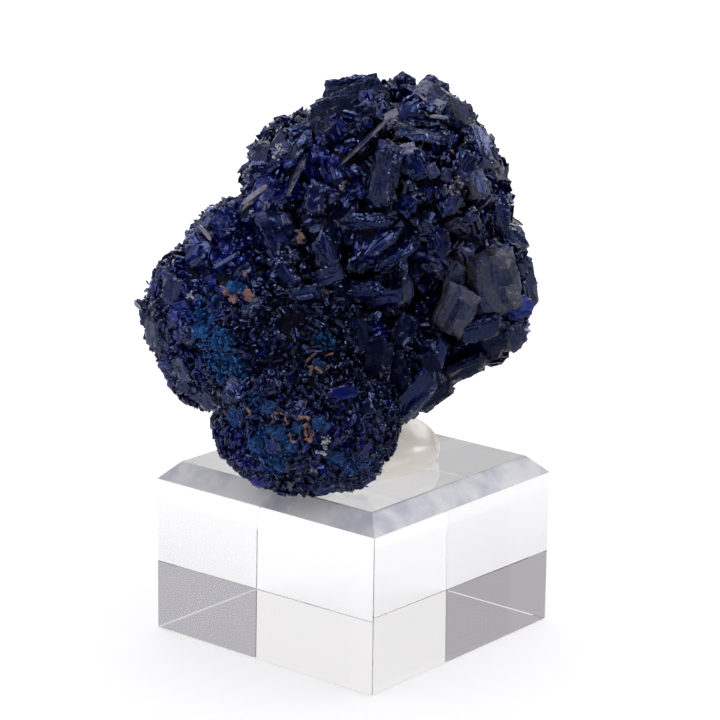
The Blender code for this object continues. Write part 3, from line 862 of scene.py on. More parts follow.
SHARDS = (
    Shard(0.0, 3.6, 0.0, (0, 5, -5), (5.0, 2.4, 0.9), Shade.PAINTED_SHADE),
    Shard(2.6, 0.2, 0.1, (-10, 12, 12), (5.6, 4.6, 1.1), Shade.PAINTED_SHADE, reaches=SLANTED),
    Shard(6.5, 4.4, 0.0, (15, 25, 35), (4.8, 3.0, 0.9), Shade.PAINTED_SHADE),
    Shard(7.6, -5.2, 0.5, (5, -12, 40), (8.4, 4.4, 1.2), reaches=SLANTED),
    Shard(5.6, -1.8, 0.0, (-20, 0, -15), (4.6, 3.2, 0.9), Shade.PAINTED_SHADE),
    Shard(10.2, -1.4, 0.3, (30, 0, -15), (5.2, 3.6, 1.0), Shade.PAINTED_SHADE, reaches=SLANTED),
    Shard(3.2, 8.9, 0.2, (-5, -15, 80), (6.4, 2.8, 1.1), Shade.INDIGO, Habit.SMOOTH),
    Shard(-1.6, 9.8, 0.0, (10, -20, 95), (5.4, 2.6, 1.0), Shade.INDIGO, Habit.SMOOTH),
    Shard(-2.5, -4.9, 0.3, (0, 10, 85), (4.6, 2.0, 0.9), Shade.BLUE, Habit.RIDGED, DISC),
    Shard(-4.7, 12.2, 0.0, (0, 0, 70), (4.6, 2.6, 0.9)),
    Shard(-8.0, 9.6, 0.0, (-10, 5, 75), (4.2, 2.4, 0.9), Shade.GREY),
    Shard(-11.0, 12.8, 0.1, (-15, 25, -40), (5.0, 2.8, 0.9), Shade.GREY, Habit.SMOOTH, SLANTED),
    Shard(-23.6, 16.8, -0.1, (-30, 20, -50), (4.4, 2.0, 1.2), Shade.BLUE, Habit.SMOOTH),
    Shard(-28.0, 10.4, -0.7, (-40, 10, 10), (4.4, 3.6, 1.2), Shade.INDIGO, Habit.SMOOTH),
    Shard(-31.0, 3.8, -0.9, (-50, 0, 0), (4.6, 3.2, 1.2), Shade.PALE, Habit.SMOOTH),
    Shard(-26.2, -1.6, -0.8, (-45, -15, -20), (4.2, 3.4, 1.2), Shade.GREY, Habit.SMOOTH),
    Shard(-22.6, -6.4, -0.8, (-30, -25, -30), (4.2, 3.4, 1.2), Shade.INDIGO, Habit.SMOOTH),
    Shard(-19.5, 19.8, 0.3, (-8, 22, 10), (5.2, 4.4, 2.4), Shade.NAVY, Habit.SMOOTH, DISC),
    Shard(-22.5, 20.2, -0.2, (-25, 35, 20), (2.8, 2.2, 1.0), Shade.PALE, Habit.SMOOTH),
    # Painted highlight: a pale sliver stands for a bright streak of light along a blade's edge.
    Shard(-22.3, 18.4, 0.3, (-40, 35, -58), (3.5, 0.7, 0.4), Shade.FROST_AND_HIGHLIGHT, Habit.SMOOTH, SLANTED),
    Shard(-16.9, 21.6, 0.3, (-10, 30, 20), (1.8, 1.5, 0.7), Shade.PALE, Habit.SMOOTH),
    # Painted highlight: a pale sliver stands for a bright streak of light along a blade's edge.
    Shard(-15.0, 24.2, 0.3, (-45, 30, 48), (4.8, 1.1, 0.4), Shade.FROST_AND_HIGHLIGHT, Habit.SMOOTH, SLANTED),
    Shard(-19.6, 14.2, 0.4, (-25, 35, 52), (3.8, 0.8, 0.5), Shade.PALE, Habit.SMOOTH, SLANTED),
    Shard(6.3, 30.3, 0.3, (5, 32, 78), (3.5, 2.2, 1.2), Shade.FROST_AND_HIGHLIGHT, Habit.SMOOTH, SLANTED),
    Shard(4.6, 35.6, 0.2, (-10, 35, 60), (2.2, 1.2, 0.6), Shade.FROST_AND_HIGHLIGHT, Habit.SMOOTH),
    Shard(7.1, 36.1, 0.3, (10, 25, 70), (3.4, 2.2, 1.4), Shade.NAVY, Habit.SMOOTH),
    Shard(11.4, 35.1, 0.4, (0, 35, 100), (2.2, 0.7, 0.4), Shade.FROST_AND_HIGHLIGHT, Habit.SMOOTH, SLANTED),
    Shard(10.5, 27.6, 0.3, (10, 20, -20), (2.0, 1.7, 0.9), Shade.PALE),
    Shard(12.5, 27.0, 0.3, (15, 15, 20), (1.8, 1.5, 0.9), Shade.PALE),
    Shard(-14.6, 24.4, -0.6, (-40, 20, 10), (5.6, 4.2, 1.2), Shade.BLUE, Habit.SMOOTH),
    Shard(-15.0, 29.6, -0.9, (-50, 25, 0), (5.2, 4.2, 1.3), Shade.GREY, Habit.SMOOTH, SLANTED),
    Shard(-9.6, 32.4, -0.2, (-30, 30, 60), (5.4, 4.2, 1.2), Shade.GREY, Habit.SMOOTH),
    Shard(10.6, 38.4, 0.0, (40, 58, 60), (6.4, 5.6, 1.2), Shade.INDIGO, Habit.SMOOTH),
    Shard(14.6, 36.0, -0.2, (55, 45, 40), (6.6, 5.6, 1.3), Shade.PAINTED_SHADE, Habit.SMOOTH),
    Shard(18.0, 31.4, -0.2, (60, 30, 10), (6.8, 5.4, 1.3), Shade.INDIGO, Habit.SMOOTH),
    Shard(8.2, 28.6, 0.1, (15, 15, -20), (4.4, 3.4, 1.4), Shade.INDIGO, Habit.RIDGED),
    Shard(15.2, 28.2, 0.0, (25, 10, 30), (4.6, 3.6, 1.4), Shade.GREY, Habit.SMOOTH),
    Shard(-6.4, 23.6, 0.0, (-15, 10, 15), (4.6, 3.4, 1.3), Shade.INDIGO, Habit.SMOOTH),
    Shard(17.0, 25.8, 0.2, (30, 20, -10), (4.4, 3.2, 1.3), Shade.PALE, Habit.SMOOTH),
    Shard(13.8, 11.4, 0.2, (-10, 5, 10), (6.6, 3.4, 1.2), Shade.PALE, Habit.SMOOTH, SLANTED),
    Shard(14.2, -1.2, 0.9, (20, -38, 60), (7.4, 4.8, 1.4), Shade.PAINTED_SHADE, Habit.SMOOTH, SLANTED),
    Shard(10.6, -4.6, 0.7, (25, -30, 45), (6.4, 4.2, 1.3), Shade.PAINTED_SHADE, Habit.SMOOTH),
)


@dataclass(frozen=True)
class Growth:
    """The large crystals that a rule places on a lobe; millimetres and degrees."""

    spacing: float
    length: float
    width: float
    thickness: float
    steepest: float


GROWTH = {
    "crown": Growth(7.0, 10.4, 7.4, 2.2, 78),
    "temple": Growth(6.2, 7.4, 5.4, 1.8, 75),
    "collar": Growth(5.8, 6.0, 5.0, 1.7, 60),
    "shoulder": Growth(7.1, 10.0, 7.2, 2.2, 78),
    "body": Growth(7.6, 9.4, 6.6, 2.1, 80),
    "left": Growth(6.0, 6.8, 5.6, 2.0, 65),
    "chin": Growth(5.8, 5.8, 4.8, 1.8, 60),
    "foot": Growth(5.4, 5.6, 4.8, 1.7, 60),
    "seat": Growth(5.4, 6.0, 4.6, 1.6, 60),
    "shelf": Growth(6.6, 9.0, 7.0, 2.2, 55),
    "heel": Growth(6.2, 7.0, 5.4, 1.8, 60),
    "back": Growth(9.6, 12.8, 9.6, 2.8, 65),
    "saddle": Growth(6.2, 6.8, 5.2, 1.7, 70),
    "apron": Growth(6.0, 5.8, 4.8, 1.7, 65),
    "waist": Growth(6.2, 6.4, 5.0, 1.8, 70),
    "toe": Growth(5.2, 5.4, 4.6, 1.6, 60),
}
LEAST_TILT = 15.0
TIP_SCATTER = (-0.4, 1.2)
GRAIN_SCALE = 9 * MM
OUTLINE_SIDES = (4, 5)
LEADER_SIDES = 6
OUTLINE_REACH = (0.76, 1.1)
SIZE_SCATTER = (0.75, 1.15)
RIM_TAPER = 0.84
DRAW_BACK_STEP = 0.7 * MM
DRAW_BACK_TRIES = 4
GROWTH_SEED = 11
BACK_SPACING = 7.0


@dataclass
class Tablet:
    """A large crystal in its place: its size in metres, its outline and its turn."""

    size: list[float]
    reaches: list[float]
    axes: Matrix
    middle: Vector
    growth: Triple
    habit: Habit = Habit.RIDGED

    def corners(self) -> np.ndarray:
        """The corners of its two faces, as world points."""
        sides = len(self.reaches)
        rows = []
        for share, height in ((1.0, -0.5), (RIM_TAPER, 0.5)):
            for index, reach in enumerate(self.reaches):
                angle = 2 * math.pi * index / sides
                local = Vector((math.cos(angle), math.sin(angle), height / (0.5 * reach * share)))
                local *= 0.5 * reach * share
                rows.append(self.middle + self.axes @ Vector(map(float.__mul__, local, self.size)))
        return np.array(rows)


@dataclass
class LargeCrystals:
    """The leading crystals, and those that the rule places, which split in smaller parts."""

    leaders_name: str = "azurite_plates"
    shaded_name: str = "azurite_shaded_plates"
    frosted_and_highlight_name: str = "frosted_and_highlight_plates"
    rear_name: str = "azurite_rear_plates"
    name: str = "azurite_tablets"
    slat_width: float = 1.1 * MM
    slat_thickness: float = 0.42 * MM
    slat_turn: tuple[float, float, float] = (0.20, 0.08, 0.09)
    slat_gaps: float = 0.18
    split_count: int = 4
    split_share: tuple[float, float] = (0.46, 0.84)
    split_turn: float = 0.28
    sheaf_share: float = 0.35
    slats: list[Template] = field(default_factory=list)
    scales: list[Template] = field(default_factory=list)
    leading: list[Tablet] = field(default_factory=list)
    rear: list[Tablet] = field(default_factory=list)
    tablets: list[Tablet] = field(default_factory=list)

    def grow(self) -> None:
        """Places every tablet."""
        rng = random.Random(GROWTH_SEED)
        for leader in LEADERS.values():
            drawn = [rng.uniform(*OUTLINE_REACH) for _ in range(LEADER_SIDES)]
            self.leading.append(self.tablet(leader, drawn))
        self.leading.extend(self.tablet(shard.leader()) for shard in SHARDS)
        self.rear.extend(self.tablet(each) for each in self.backs(random.Random(GROWTH_SEED)))
        for name, growth in GROWTH.items():
            self.tablets.extend(self.ruled(name, growth, rng))

    @staticmethod
    def backs(rng: random.Random) -> Iterator[Leader]:
        """The middling plates behind, evenly spread over the lobes and each in its own way."""
        for name, lobe in LOBES.items():
            points, normals = lobe.surface(spiral(round(lobe.area() / BACK_SPACING**2)))
            free = outside_others(points, name) & (normals[:, 1] > 0.5) & (normals[:, 2] > -0.6)
            for point, normal in zip(points[free], normals[free]):
                bearing = math.degrees(math.atan2(normal[0], -normal[1])) + rng.uniform(-18, 18)
                rise = math.degrees(math.asin(normal[2])) + rng.uniform(-18, 18)
                length = rng.uniform(3.6, 7.0)
                size = (length, length * rng.uniform(0.6, 0.9), rng.uniform(0.9, 1.5))
                yield Leader(
                    tuple(point - normal * rng.uniform(0.1, 0.7)),
                    (bearing, rise, rng.uniform(-90, 90)),
                    size,
                    rng.choice((Shade.INDIGO, Shade.BLUE, Shade.GREY, Shade.NAVY, Shade.PALE)),
                    rng.choice((Habit.SMOOTH, Habit.RIDGED)),
                    rng.choice((SLAB, SLANTED, DISC)),
                )

    def tablet(self, leader: Leader, drawn: Sequence[float] = ()) -> Tablet:
        """A leader in its place, with a drawn outline where it has none of its own."""
        size = [value * MM for value in leader.size]
        middle = Vector(to_world(np.array(leader.centre)))
        axes, shade = self.leader_axes(*leader.facing), leader.shade.value
        reaches = list(leader.reaches or drawn)
        return Tablet(size, reaches, axes, middle, shade, leader.habit)

    @staticmethod
    def leader_axes(bearing: float, elevation: float, turn: float) -> Matrix:
        """The turn of a leader, from its facing in degrees."""
        bearing, elevation, turn = (math.radians(v) for v in (bearing, elevation, turn))
        level = math.cos(elevation)
        local = (math.sin(bearing) * level, -math.cos(bearing) * level, math.sin(elevation))
        plate = Vector(CLUSTER_TURN @ local)
        upright = (Vector((0, 0, 1)) - plate * plate.z).normalized()
        along = upright * math.cos(turn) + upright.cross(plate) * math.sin(turn)
        return Matrix((along, plate.cross(along), plate)).transposed()

    @staticmethod
    def ruled(name: str, growth: Growth, rng: random.Random) -> Iterator[Tablet]:
        """The tablets that the rule places on one lobe.

        Args:
            name: The lobe's name.
            growth: The rule's values for it.
            rng: Where the scatter comes from.

        Yields:
            Each tablet, drawn back where the mount is in its way.
        """
        lobe, tones = LOBES[name], random.Random(name)
        points, normals = lobe.surface(spiral(round(lobe.area() / growth.spacing**2)))
        free = outside_others(points, name) & ~under_a_leader(points)
        for point, normal in zip(to_world(points[free]), normals[free] @ CLUSTER_TURN.T):
            normal = Vector(normal)
            scale = rng.uniform(*SIZE_SCATTER) * MM
            size = [v * scale for v in (growth.length, growth.width, growth.thickness)]
            axes = LargeCrystals.ruled_axes(Vector(point), normal, growth.steepest, rng)
            reach = sum(abs(axis.dot(normal)) * side for axis, side in zip(axes.col, size)) / 2
            tip = rng.uniform(*TIP_SCATTER) * MM
            sides = rng.choice(OUTLINE_SIDES)
            reaches = [rng.uniform(*OUTLINE_REACH) for _ in range(sides)]
            shade = (tones.random() ** 2, tones.random() ** 3 * 0.6, 0.0)
            middle = Vector(point) + normal * (tip - reach)
            habit = Habit.RIDGED if lobe.cover is Cover.BOOKS else Habit.SCALY
            tablet = Tablet(size, reaches, axes, middle, shade, habit)
            for _ in range(DRAW_BACK_TRIES):
                if clear_of_mount(tablet.corners()).all():
                    yield tablet
                    break
                tablet.middle = tablet.middle - normal * DRAW_BACK_STEP

    @staticmethod
    def ruled_axes(point: Vector, normal: Vector, steepest: float, rng: random.Random) -> Matrix:
        """The turn of a tablet, from a smooth noise so that neighbours lie nearly parallel."""
        sway = noise.noise(point / GRAIN_SCALE) * 2 * math.pi + rng.uniform(-0.5, 0.5)
        side = normal.orthogonal().normalized()
        side.rotate(Matrix.Rotation(sway, 3, normal))
        plate = normal.copy()
        plate.rotate(Matrix.Rotation(math.radians(rng.uniform(LEAST_TILT, steepest)), 3, side))
        along = plate.cross(side)
        if along.dot(normal) < 0:
            along.negate()
        return Matrix((along, plate.cross(along), plate)).transposed()

    def split(self, tablet: Tablet, rng: np.random.Generator) -> Iterator[Tablet]:
        """The smaller tablets that a ruled one is made up of."""
        low, high = self.split_share
        for _ in range(self.split_count):
            angles = rng.normal(0, self.split_turn, 3)
            axes = tablet.axes @ Euler(angles).to_matrix()
            share = rng.uniform((low, low, 0.4), (high, high, 0.7))
            local = rng.uniform(-0.5, 0.5, 3) * (1.05 - share)
            middle = tablet.middle + tablet.axes @ Vector(local * tablet.size)
            growth = tuple(np.clip(np.array(tablet.growth) * rng.uniform(0.3, 1.5), 0, 1))
            size = list(share * tablet.size)
            sheaf = tablet.habit is Habit.RIDGED and rng.random() < self.sheaf_share
            habit = Habit.RIDGED if sheaf else Habit.SCALY
            yield Tablet(size, tablet.reaches, axes, middle, growth, habit)

    def sheaf(self, mass: CrystalMass, tablet: Tablet, rng: np.random.Generator) -> None:
        """Adds a tablet as layers of slats that run along it, with stepped ends.

        Args:
            mass: Where they go.
            tablet: The tablet whose room they fill.
            rng: Where the scatter comes from.
        """
        length, width, thickness = tablet.size
        rows = max(2, round(width / self.slat_width))
        layers = max(2, round(thickness / self.slat_thickness))
        row, layer = (grid.ravel() for grid in np.meshgrid(range(rows), range(layers)))
        kept = rng.random(len(row)) > self.slat_gaps
        row, layer = row[kept], layer[kept]
        count = len(row)
        across = (row + 0.5) / rows - 0.5
        above = (layer + 0.5) / layers - 0.5
        reach = np.sqrt(1 - (across * 1.7) ** 2) * rng.uniform(0.5, 1.0, count)
        slide = rng.uniform(-0.5, 0.5, count) * (1 - reach) + rng.uniform(-0.04, 0.04, count)
        local = np.stack((slide, across, above), axis=1)
        share = np.stack((reach, np.full(count, 1.12 / rows), np.full(count, 1.15 / layers)), 1)
        share[:, 1:] *= rng.uniform(0.8, 1.3, (count, 2))
        self.scatter(mass, tablet, self.slats, local, share, rng)

    def packet(self, mass: CrystalMass, tablet: Tablet, rng: np.random.Generator) -> None:
        """Adds a tablet as thin rounded plates that overlap, large ones in the middle.

        Args:
            mass: Where they go.
            tablet: The tablet whose room they fill.
            rng: Where the scatter comes from.
        """
        count = max(4, round(tablet.size[2] / self.slat_thickness * 1.3))
        above = (np.arange(count) + 0.5) / count - 0.5
        reach = rng.uniform(0.55, 1.0, count) * (1 - np.abs(above) * 0.5)
        slide = rng.uniform(-0.5, 0.5, (count, 2)) * (1 - reach[:, None])
        local = np.column_stack((slide, above))
        share = np.column_stack((reach, reach * rng.uniform(0.85, 1.1, count), np.full(count, 0.2)))
        self.scatter(mass, tablet, self.scales, local, share, rng)

    def scatter(
        self,
        mass: CrystalMass,
        tablet: Tablet,
        templates: Sequence[Template],
        local: np.ndarray,
        share: np.ndarray,
        rng: np.random.Generator,
    ) -> None:
        """Adds a tablet's parts, each a little turned and in its own shade.

        Args:
            mass: Where they go.
            tablet: The tablet that they make up.
            templates: The shapes to choose from.
            local: Each part's middle, as shares of the tablet's size.
            share: Each part's size, as shares of the tablet's.
            rng: Where the scatter comes from.
        """
        count = len(local)
        angles = rng.normal(0, 1, (count, 3)) * self.slat_turn
        turns = np.array([Euler(each).to_matrix() for each in angles])
        axes = np.array(tablet.axes) @ turns
        middles = np.array(tablet.middle) + (local * tablet.size) @ np.array(tablet.axes).T
        shade = np.clip(np.array(tablet.growth) * rng.uniform(0.5, 1.4, (count, 1)), 0, 1)
        choice = rng.integers(0, len(templates), count)
        for index, template in enumerate(templates):
            pick = choice == index
            mass.add(template, axes[pick], middles[pick], share[pick] * tablet.size, shade[pick])

    def build(self, finish: bpy.types.Material, frost_and_highlight: bpy.types.Material) -> None:
        """Makes the ruled tablets, and the leaders in their three finishes."""
        rng = np.random.default_rng(5)
        self.slats = [slat(rng) for _ in range(8)]
        self.scales = [scale(sides, rng) for sides in (6, 7, 8, 9, 10, 11)]
        angle = math.radians(24)
        plates, dark, pale, behind = (
            CrystalMass(name, smooth_angle=angle, line_scale=0.5)
            for name in (self.leaders_name, self.shaded_name, self.frosted_and_highlight_name, self.rear_name)
        )
        # Painted shade: plates of the painted-shade tone go to the darker, duller mass.
        own = {Shade.PAINTED_SHADE.value: dark, Shade.FROST_AND_HIGHLIGHT.value: pale}
        mass = CrystalMass(self.name)
        for index, tablet in enumerate(self.leading):
            if tablet.habit is Habit.SCALY:
                self.packet(mass, tablet, rng)
            else:
                CleavedPlate(tablet, index * 13.7).add_to(own.get(tablet.growth, plates))
        for index, tablet in enumerate(self.rear, len(self.leading)):
            CleavedPlate(tablet, index * 13.7).add_to(behind)
        for tablet in self.tablets:
            for part in self.split(tablet, rng):
                fill = self.sheaf if part.habit is Habit.RIDGED else self.packet
                fill(mass, part, rng)
        smooth = PLATE.make()
        plates.build(smooth, "azurite_cluster", "azurite")
        behind.build(smooth, "azurite_cluster", "azurite")
        dark.build(SHADED.make(), "azurite_cluster", "azurite")
        pale.build(frost_and_highlight, "azurite_cluster", "azurite")
        mass.build(finish, "azurite_cluster", "azurite")


@dataclass
class CleavedPlate:
    """A leading crystal: a plate with a broken outline, low steps on its faces and layered sides.

    Cell, step, jag and layer are in millimetres; seed sets its noise apart from the others'.
    """

    tablet: Tablet
    seed: float
    cell: float = 0.28
    step: float = 0.16
    levels: int = 5
    smooth_levels: int = 3
    jag: float = 0.32
    layer: float = 0.45

    def add_to(self, mass: CrystalMass) -> None:
        """Adds the plate to a mass."""
        bm = self.slab()
        size = np.array(self.tablet.size) / MM
        for vert in bm.verts:
            vert.co = self.shaped(vert.co, size)
        template = Template.read(bm)
        axes, middle = np.array(self.tablet.axes)[None], np.array(self.tablet.middle)[None]
        mass.add(template, axes, middle, np.full((1, 3), MM), np.array([self.tablet.growth]))

    def slab(self) -> bmesh.types.BMesh:
        """A square slab of half size 1, in cells, its sides cut in layers."""
        length, width, thickness = (v / MM for v in self.tablet.size)
        bm = bmesh.new()
        bmesh.ops.create_grid(
            bm,
            x_segments=max(4, round(length / self.cell)),
            y_segments=max(4, round(width / self.cell)),
            size=1.0,
        )
        bmesh.ops.solidify(bm, geom=bm.faces[:], thickness=1.0)
        low = min(v.co.z for v in bm.verts)
        bmesh.ops.translate(bm, vec=(0, 0, -low - 0.5), verts=bm.verts)
        bmesh.ops.recalc_face_normals(bm, faces=bm.faces)
        uprights = [e for e in bm.edges if abs(e.verts[0].co.z - e.verts[1].co.z) > 0.5]
        cuts = max(1, round(thickness / self.layer) - 1)
        bmesh.ops.subdivide_edges(bm, edges=uprights, cuts=cuts, use_grid_fill=True)
        return bm

    def outline(self, angle: float) -> float:
        """How far the outline lies from the middle in a direction, as a share of half the size."""
        reaches = self.tablet.reaches
        wedge = 2 * math.pi / len(reaches)
        index, part = divmod(angle % (2 * math.pi), wedge)
        near, far = reaches[int(index) % len(reaches)], reaches[(int(index) + 1) % len(reaches)]
        return near * far * math.sin(wedge) / (near * math.sin(part) + far * math.sin(wedge - part))

    def shaped(self, place: Vector, size: np.ndarray) -> Vector:
        """Where a point of the square slab lies on the plate.

        Args:
            place: The point, between -1 and 1 across the slab and -0.5 and 0.5 in height.
            size: The plate's length, width and thickness in millimetres.

        Returns:
            The point in millimetres on the tablet's axes.
        """
        share = max(abs(place.x), abs(place.y))
        angle = math.atan2(place.y, place.x)
        reach = self.outline(angle) * 0.5 * share
        taper = 1.0 + (RIM_TAPER - 1.0) * (place.z + 0.5)
        flat = Vector((math.cos(angle) * size[0], math.sin(angle) * size[1], 0.0)) * reach * taper
        ragged = noise.noise(flat / 0.9 + Vector((self.seed, 0, place.z * 2.0)))
        ragged += 0.35 * noise.noise(flat / 0.4 + Vector((0, self.seed, place.z * 9.0)))
        flat *= 1 + share**4 * ragged * self.jag / max(flat.length, 1.0)
        side = 1.0 if place.z > 0 else -1.0
        long, wide = (9.0, 1.3) if self.tablet.habit is Habit.RIDGED else (6.0, 3.0)
        where = Vector((flat.x / long, flat.y / wide, self.seed + side * 5.0))
        rise = noise.noise(where) + 0.2 * noise.noise(where * 2.7) - 0.45 * share**5
        levels = self.levels if self.tablet.habit is Habit.RIDGED else self.smooth_levels
        level = math.floor((rise * 0.9 + 0.5) * levels)
        sunk = min(max(levels - 1 - level, 0) * self.step, size[2] * 0.36)
        wave = 0.05 * noise.noise(flat / 1.3 + Vector((0, 0, self.seed)))
        flat.z = place.z * (size[2] - 2 * sunk) + side * wave * min(size[2], 1.0)
        return flat


def scale(sides: int, rng: np.random.Generator) -> Template:
    """A thin plate of unit size with an uneven outline and a smaller upper face."""
    return Template.read(plate(rng.uniform(0.60, 1.16, sides).tolist(), rng.uniform(0.78, 0.92)))


def slat(rng: np.random.Generator) -> Template:
    """A narrow bar of unit size with broken corners."""
    bm = bmesh.new()
    bmesh.ops.create_cube(bm, size=1.0)
    for vert, shift in zip(bm.verts, rng.uniform(-1, 1, (8, 3)) * (0.10, 0.16, 0.12)):
        vert.co += Vector(shift)
    return Template.read(bm)


def plate(reaches: Sequence[float], taper: float) -> bmesh.types.BMesh:
    """A many-sided plate of unit size with its upper face a little smaller.

    Args:
        reaches: How far each corner lies from the middle, as a share of half the size.
        taper: The upper face as a share of the lower one.

    Returns:
        The plate about the origin.
    """
    sides = len(reaches)
    bm = bmesh.new()
    bmesh.ops.create_cone(
        bm, cap_ends=True, segments=sides, radius1=0.5, radius2=0.5 * taper, depth=1.0
    )
    for vert in bm.verts:
        turn = math.atan2(vert.co.y, vert.co.x) / (2 * math.pi) * sides
        vert.co.xy *= reaches[round(turn) % sides]
    return bm


def under_a_leader(points: np.ndarray) -> np.ndarray:
    """Which points, in millimetres, a leader's plate takes the place of."""
    taken = np.zeros(len(points), bool)
    for leader in LEADERS.values():
        taken |= np.linalg.norm(points - leader.centre, axis=1) < leader.size[1] * 0.5
    return taken


# ---- Small crystals -----------------------------------------------------------------------


@dataclass(frozen=True)
class Spot:
    """A patch of the show face, in millimetres of the view: place across, height and radius."""

    across: float
    height: float
    radius: float

    def seat(self) -> tuple[np.ndarray, np.ndarray]:
        """Its point on the cluster and the normal there."""
        return VIEW.hit(self.across, self.height)

    def nearness(self, points: np.ndarray) -> np.ndarray:
        """1 at its point, 0 at the rim and less outside, for each point in millimetres."""
        return 1 - np.linalg.norm(points - self.seat()[0], axis=1) / self.radius


AZURE_FIELDS = (
    Spot(-21.2, 1.5, 4.6),
    Spot(-23.3, 4.4, 3.8),
    Spot(-19.2, -1.7, 3.8),
    Spot(-16.6, 7.4, 1.8),
    Spot(-17.4, 11.0, 1.7),
    Spot(-22.4, 8.0, 2.4),
    Spot(-5.1, 2.9, 2.2),
    Spot(-11.6, -12.4, 3.4),
    Spot(-14.9, -11.6, 3.2),
    Spot(-12.7, -15.7, 2.4),
    Spot(-3.2, -14.3, 1.9),
    Spot(-1.2, -16.3, 1.6),
    Spot(0.7, -15.3, 1.6),
    Spot(-15.7, -6.0, 2.2),
)
AZURE_BUDS = (
    Spot(-13.4, -7.0, 1.15),
    Spot(-18.5, -8.0, 1.35),
    Spot(-5.7, -9.3, 1.35),
    Spot(-9.0, -9.9, 0.95),
    Spot(-6.0, -0.5, 1.1),
    Spot(-12.2, -10.6, 1.2),
    Spot(-9.9, -12.6, 1.0),
    Spot(-15.4, -12.6, 1.1),
    Spot(-3.2, -14.4, 0.9),
)


FINE_LENGTH = 1.5


def azure_share(points: np.ndarray) -> np.ndarray:
    """How far each point, in millimetres, lies in an azure field, from 0 to 1."""
    share = np.zeros(len(points))
    for spot in (*AZURE_FIELDS, *AZURE_BUDS):
        share = np.maximum(share, np.clip(spot.nearness(points) * 2.2, 0, 1))
    return share


@dataclass(frozen=True)
class Vein:
    """A crooked run of clay between two places of the view, in millimetres."""

    start: tuple[float, float]
    end: tuple[float, float]
    bow: float = 0.0
    width: float = 0.45


VEINS = (
    Vein((-9.3, 18.8), (-8.8, 17.2), 0.3, 0.7),
    Vein((-19.4, 9.7), (-18.3, 8.6), 0.1, 1.1),
    Vein((-18.7, 9.1), (-16.4, 9.5), 0.1, 0.5),
    Vein((-16.5, 10.4), (-15.8, 8.8), -0.1, 1.0),
    Vein((-20.4, 10.8), (-19.3, 9.7), 0.1, 0.4),
    Vein((-17.0, 12.7), (-16.6, 12.2), 0.0, 0.5),
    Vein((-6.6, 0.9), (-6.0, -1.5), -0.6, 0.4),
    Vein((-6.0, -1.5), (-4.6, -0.9), -0.4, 0.4),
    Vein((-4.9, 0.7), (-4.1, 0.9), 0.2, 0.5),
    Vein((-7.4, -2.2), (-6.3, -1.6), 0.3, 0.35),
    Vein((-10.4, -9.2), (-9.1, -8.6), 0.5, 0.35),
    Vein((-9.1, -8.6), (-7.5, -9.6), 0.5, 0.35),
    Vein((-7.5, -9.6), (-8.6, -11.3), 0.6, 0.4),
    Vein((-8.6, -11.3), (-10.2, -10.5), 0.5, 0.35),
    Vein((-7.8, -9.3), (-7.2, -11.8), -0.2, 0.5),
    Vein((-12.5, -7.8), (-10.6, -9.3), 0.3, 0.4),
    Vein((-17.0, -6.6), (-17.2, -8.9), 0.5, 0.4),
    Vein((-14.6, -9.4), (-13.2, -7.2), -0.5, 0.3),
    Vein((-5.4, 10.2), (-4.9, 9.8), 0.1, 0.4),
    Vein((-8.2, -5.4), (-8.8, -7.6), 0.3, 0.25),
    Vein((13.1, 30.4), (14.0, 29.4), 0.2, 0.3),
    Vein((8.9, 30.8), (9.3, 31.6), 0.1, 0.25),
    Vein((-3.9, 20.4), (-3.2, 19.6), 0.2, 0.25),
)
HOLLOWS = (
    Spot(4.4, 5.1, 2.6),
    Spot(0.0, 16.0, 2.2),
    Spot(-7.0, 17.0, 1.8),
    Spot(-10.2, 5.8, 1.6),
)
BLUE_SPOTS = (
    Spot(-24.0, 12.0, 10.0),
    Spot(-14.0, 27.0, 9.0),
    Spot(-20.0, 18.5, 6.0),
    Spot(-3.0, -14.0, 8.0),
    Spot(-14.0, -11.0, 8.0),
    Spot(11.0, -4.0, 6.0),
    Spot(-6.0, 31.0, 8.0),
    Spot(-25.0, 1.5, 6.0),
    Spot(-24.0, 18.5, 5.0),
    Spot(-17.5, -12.5, 5.0),
)
# Painted shade: small crystals are darkened in these spots, in the recessed middle where shade
# falls.
PAINTED_SHADE_SPOTS = (
    Spot(1.0, 8.0, 10.0),
    Spot(-2.0, 0.0, 9.0),
    Spot(-6.5, 11.0, 7.0),
    Spot(2.0, 17.5, 8.0),
    Spot(5.5, 5.0, 6.0),
    Spot(12.0, 0.0, 6.0),
    Spot(-13.0, 6.5, 5.0),
    Spot(15.5, 1.0, 6.0),
    Spot(7.5, -6.0, 6.0),
)
FILM_SPOTS = (
    Spot(16.0, 19.0, 9.0),
    Spot(18.5, 11.0, 9.0),
    Spot(19.0, 4.0, 6.0),
    Spot(-10.5, 16.0, 6.0),
    Spot(-14.0, 30.0, 6.0),
    Spot(-31.0, 5.0, 6.0),
    Spot(-16.0, 30.0, 6.5),
    Spot(13.5, 12.0, 5.0),
    Spot(17.0, 26.0, 4.0),
    Spot(-10.5, 21.0, 5.0),
    Spot(24.0, 15.5, 4.0),
    Spot(17.0, 21.5, 6.0),
    Spot(-10.0, -12.5, 7.0),
    Spot(-1.5, -12.0, 6.0),
    Spot(-17.0, -4.0, 6.0),
    Spot(-8.0, -16.5, 8.0),
    Spot(0.5, -16.5, 7.0),
    Spot(-14.5, -8.5, 6.0),
    Spot(22.5, 9.0, 6.0),
    Spot(-21.0, -9.0, 5.0),
)


@dataclass(frozen=True)
class Coat:
    """One size of small crystal over the lobes; millimetres and degrees, for grain 1.

    Size is (length, width, thickness), tilt the angle from the surface's normal to the plate's,
    tips how far the ends stand from the lobes, book how many blades lie side by side, and fan
    the angle between the outer two. Lying crystals run along the surface, the others stand.
    """

    name: str
    covers: tuple[Cover, ...]
    spacing: float
    size: Triple
    tilt: tuple[float, float]
    tips: tuple[float, float]
    book: tuple[int, int]
    fan: float
    sides: tuple[int, ...]
    seed: int
    lying: bool = False
    on_plates: float = 0.1
    azure_only: bool = False


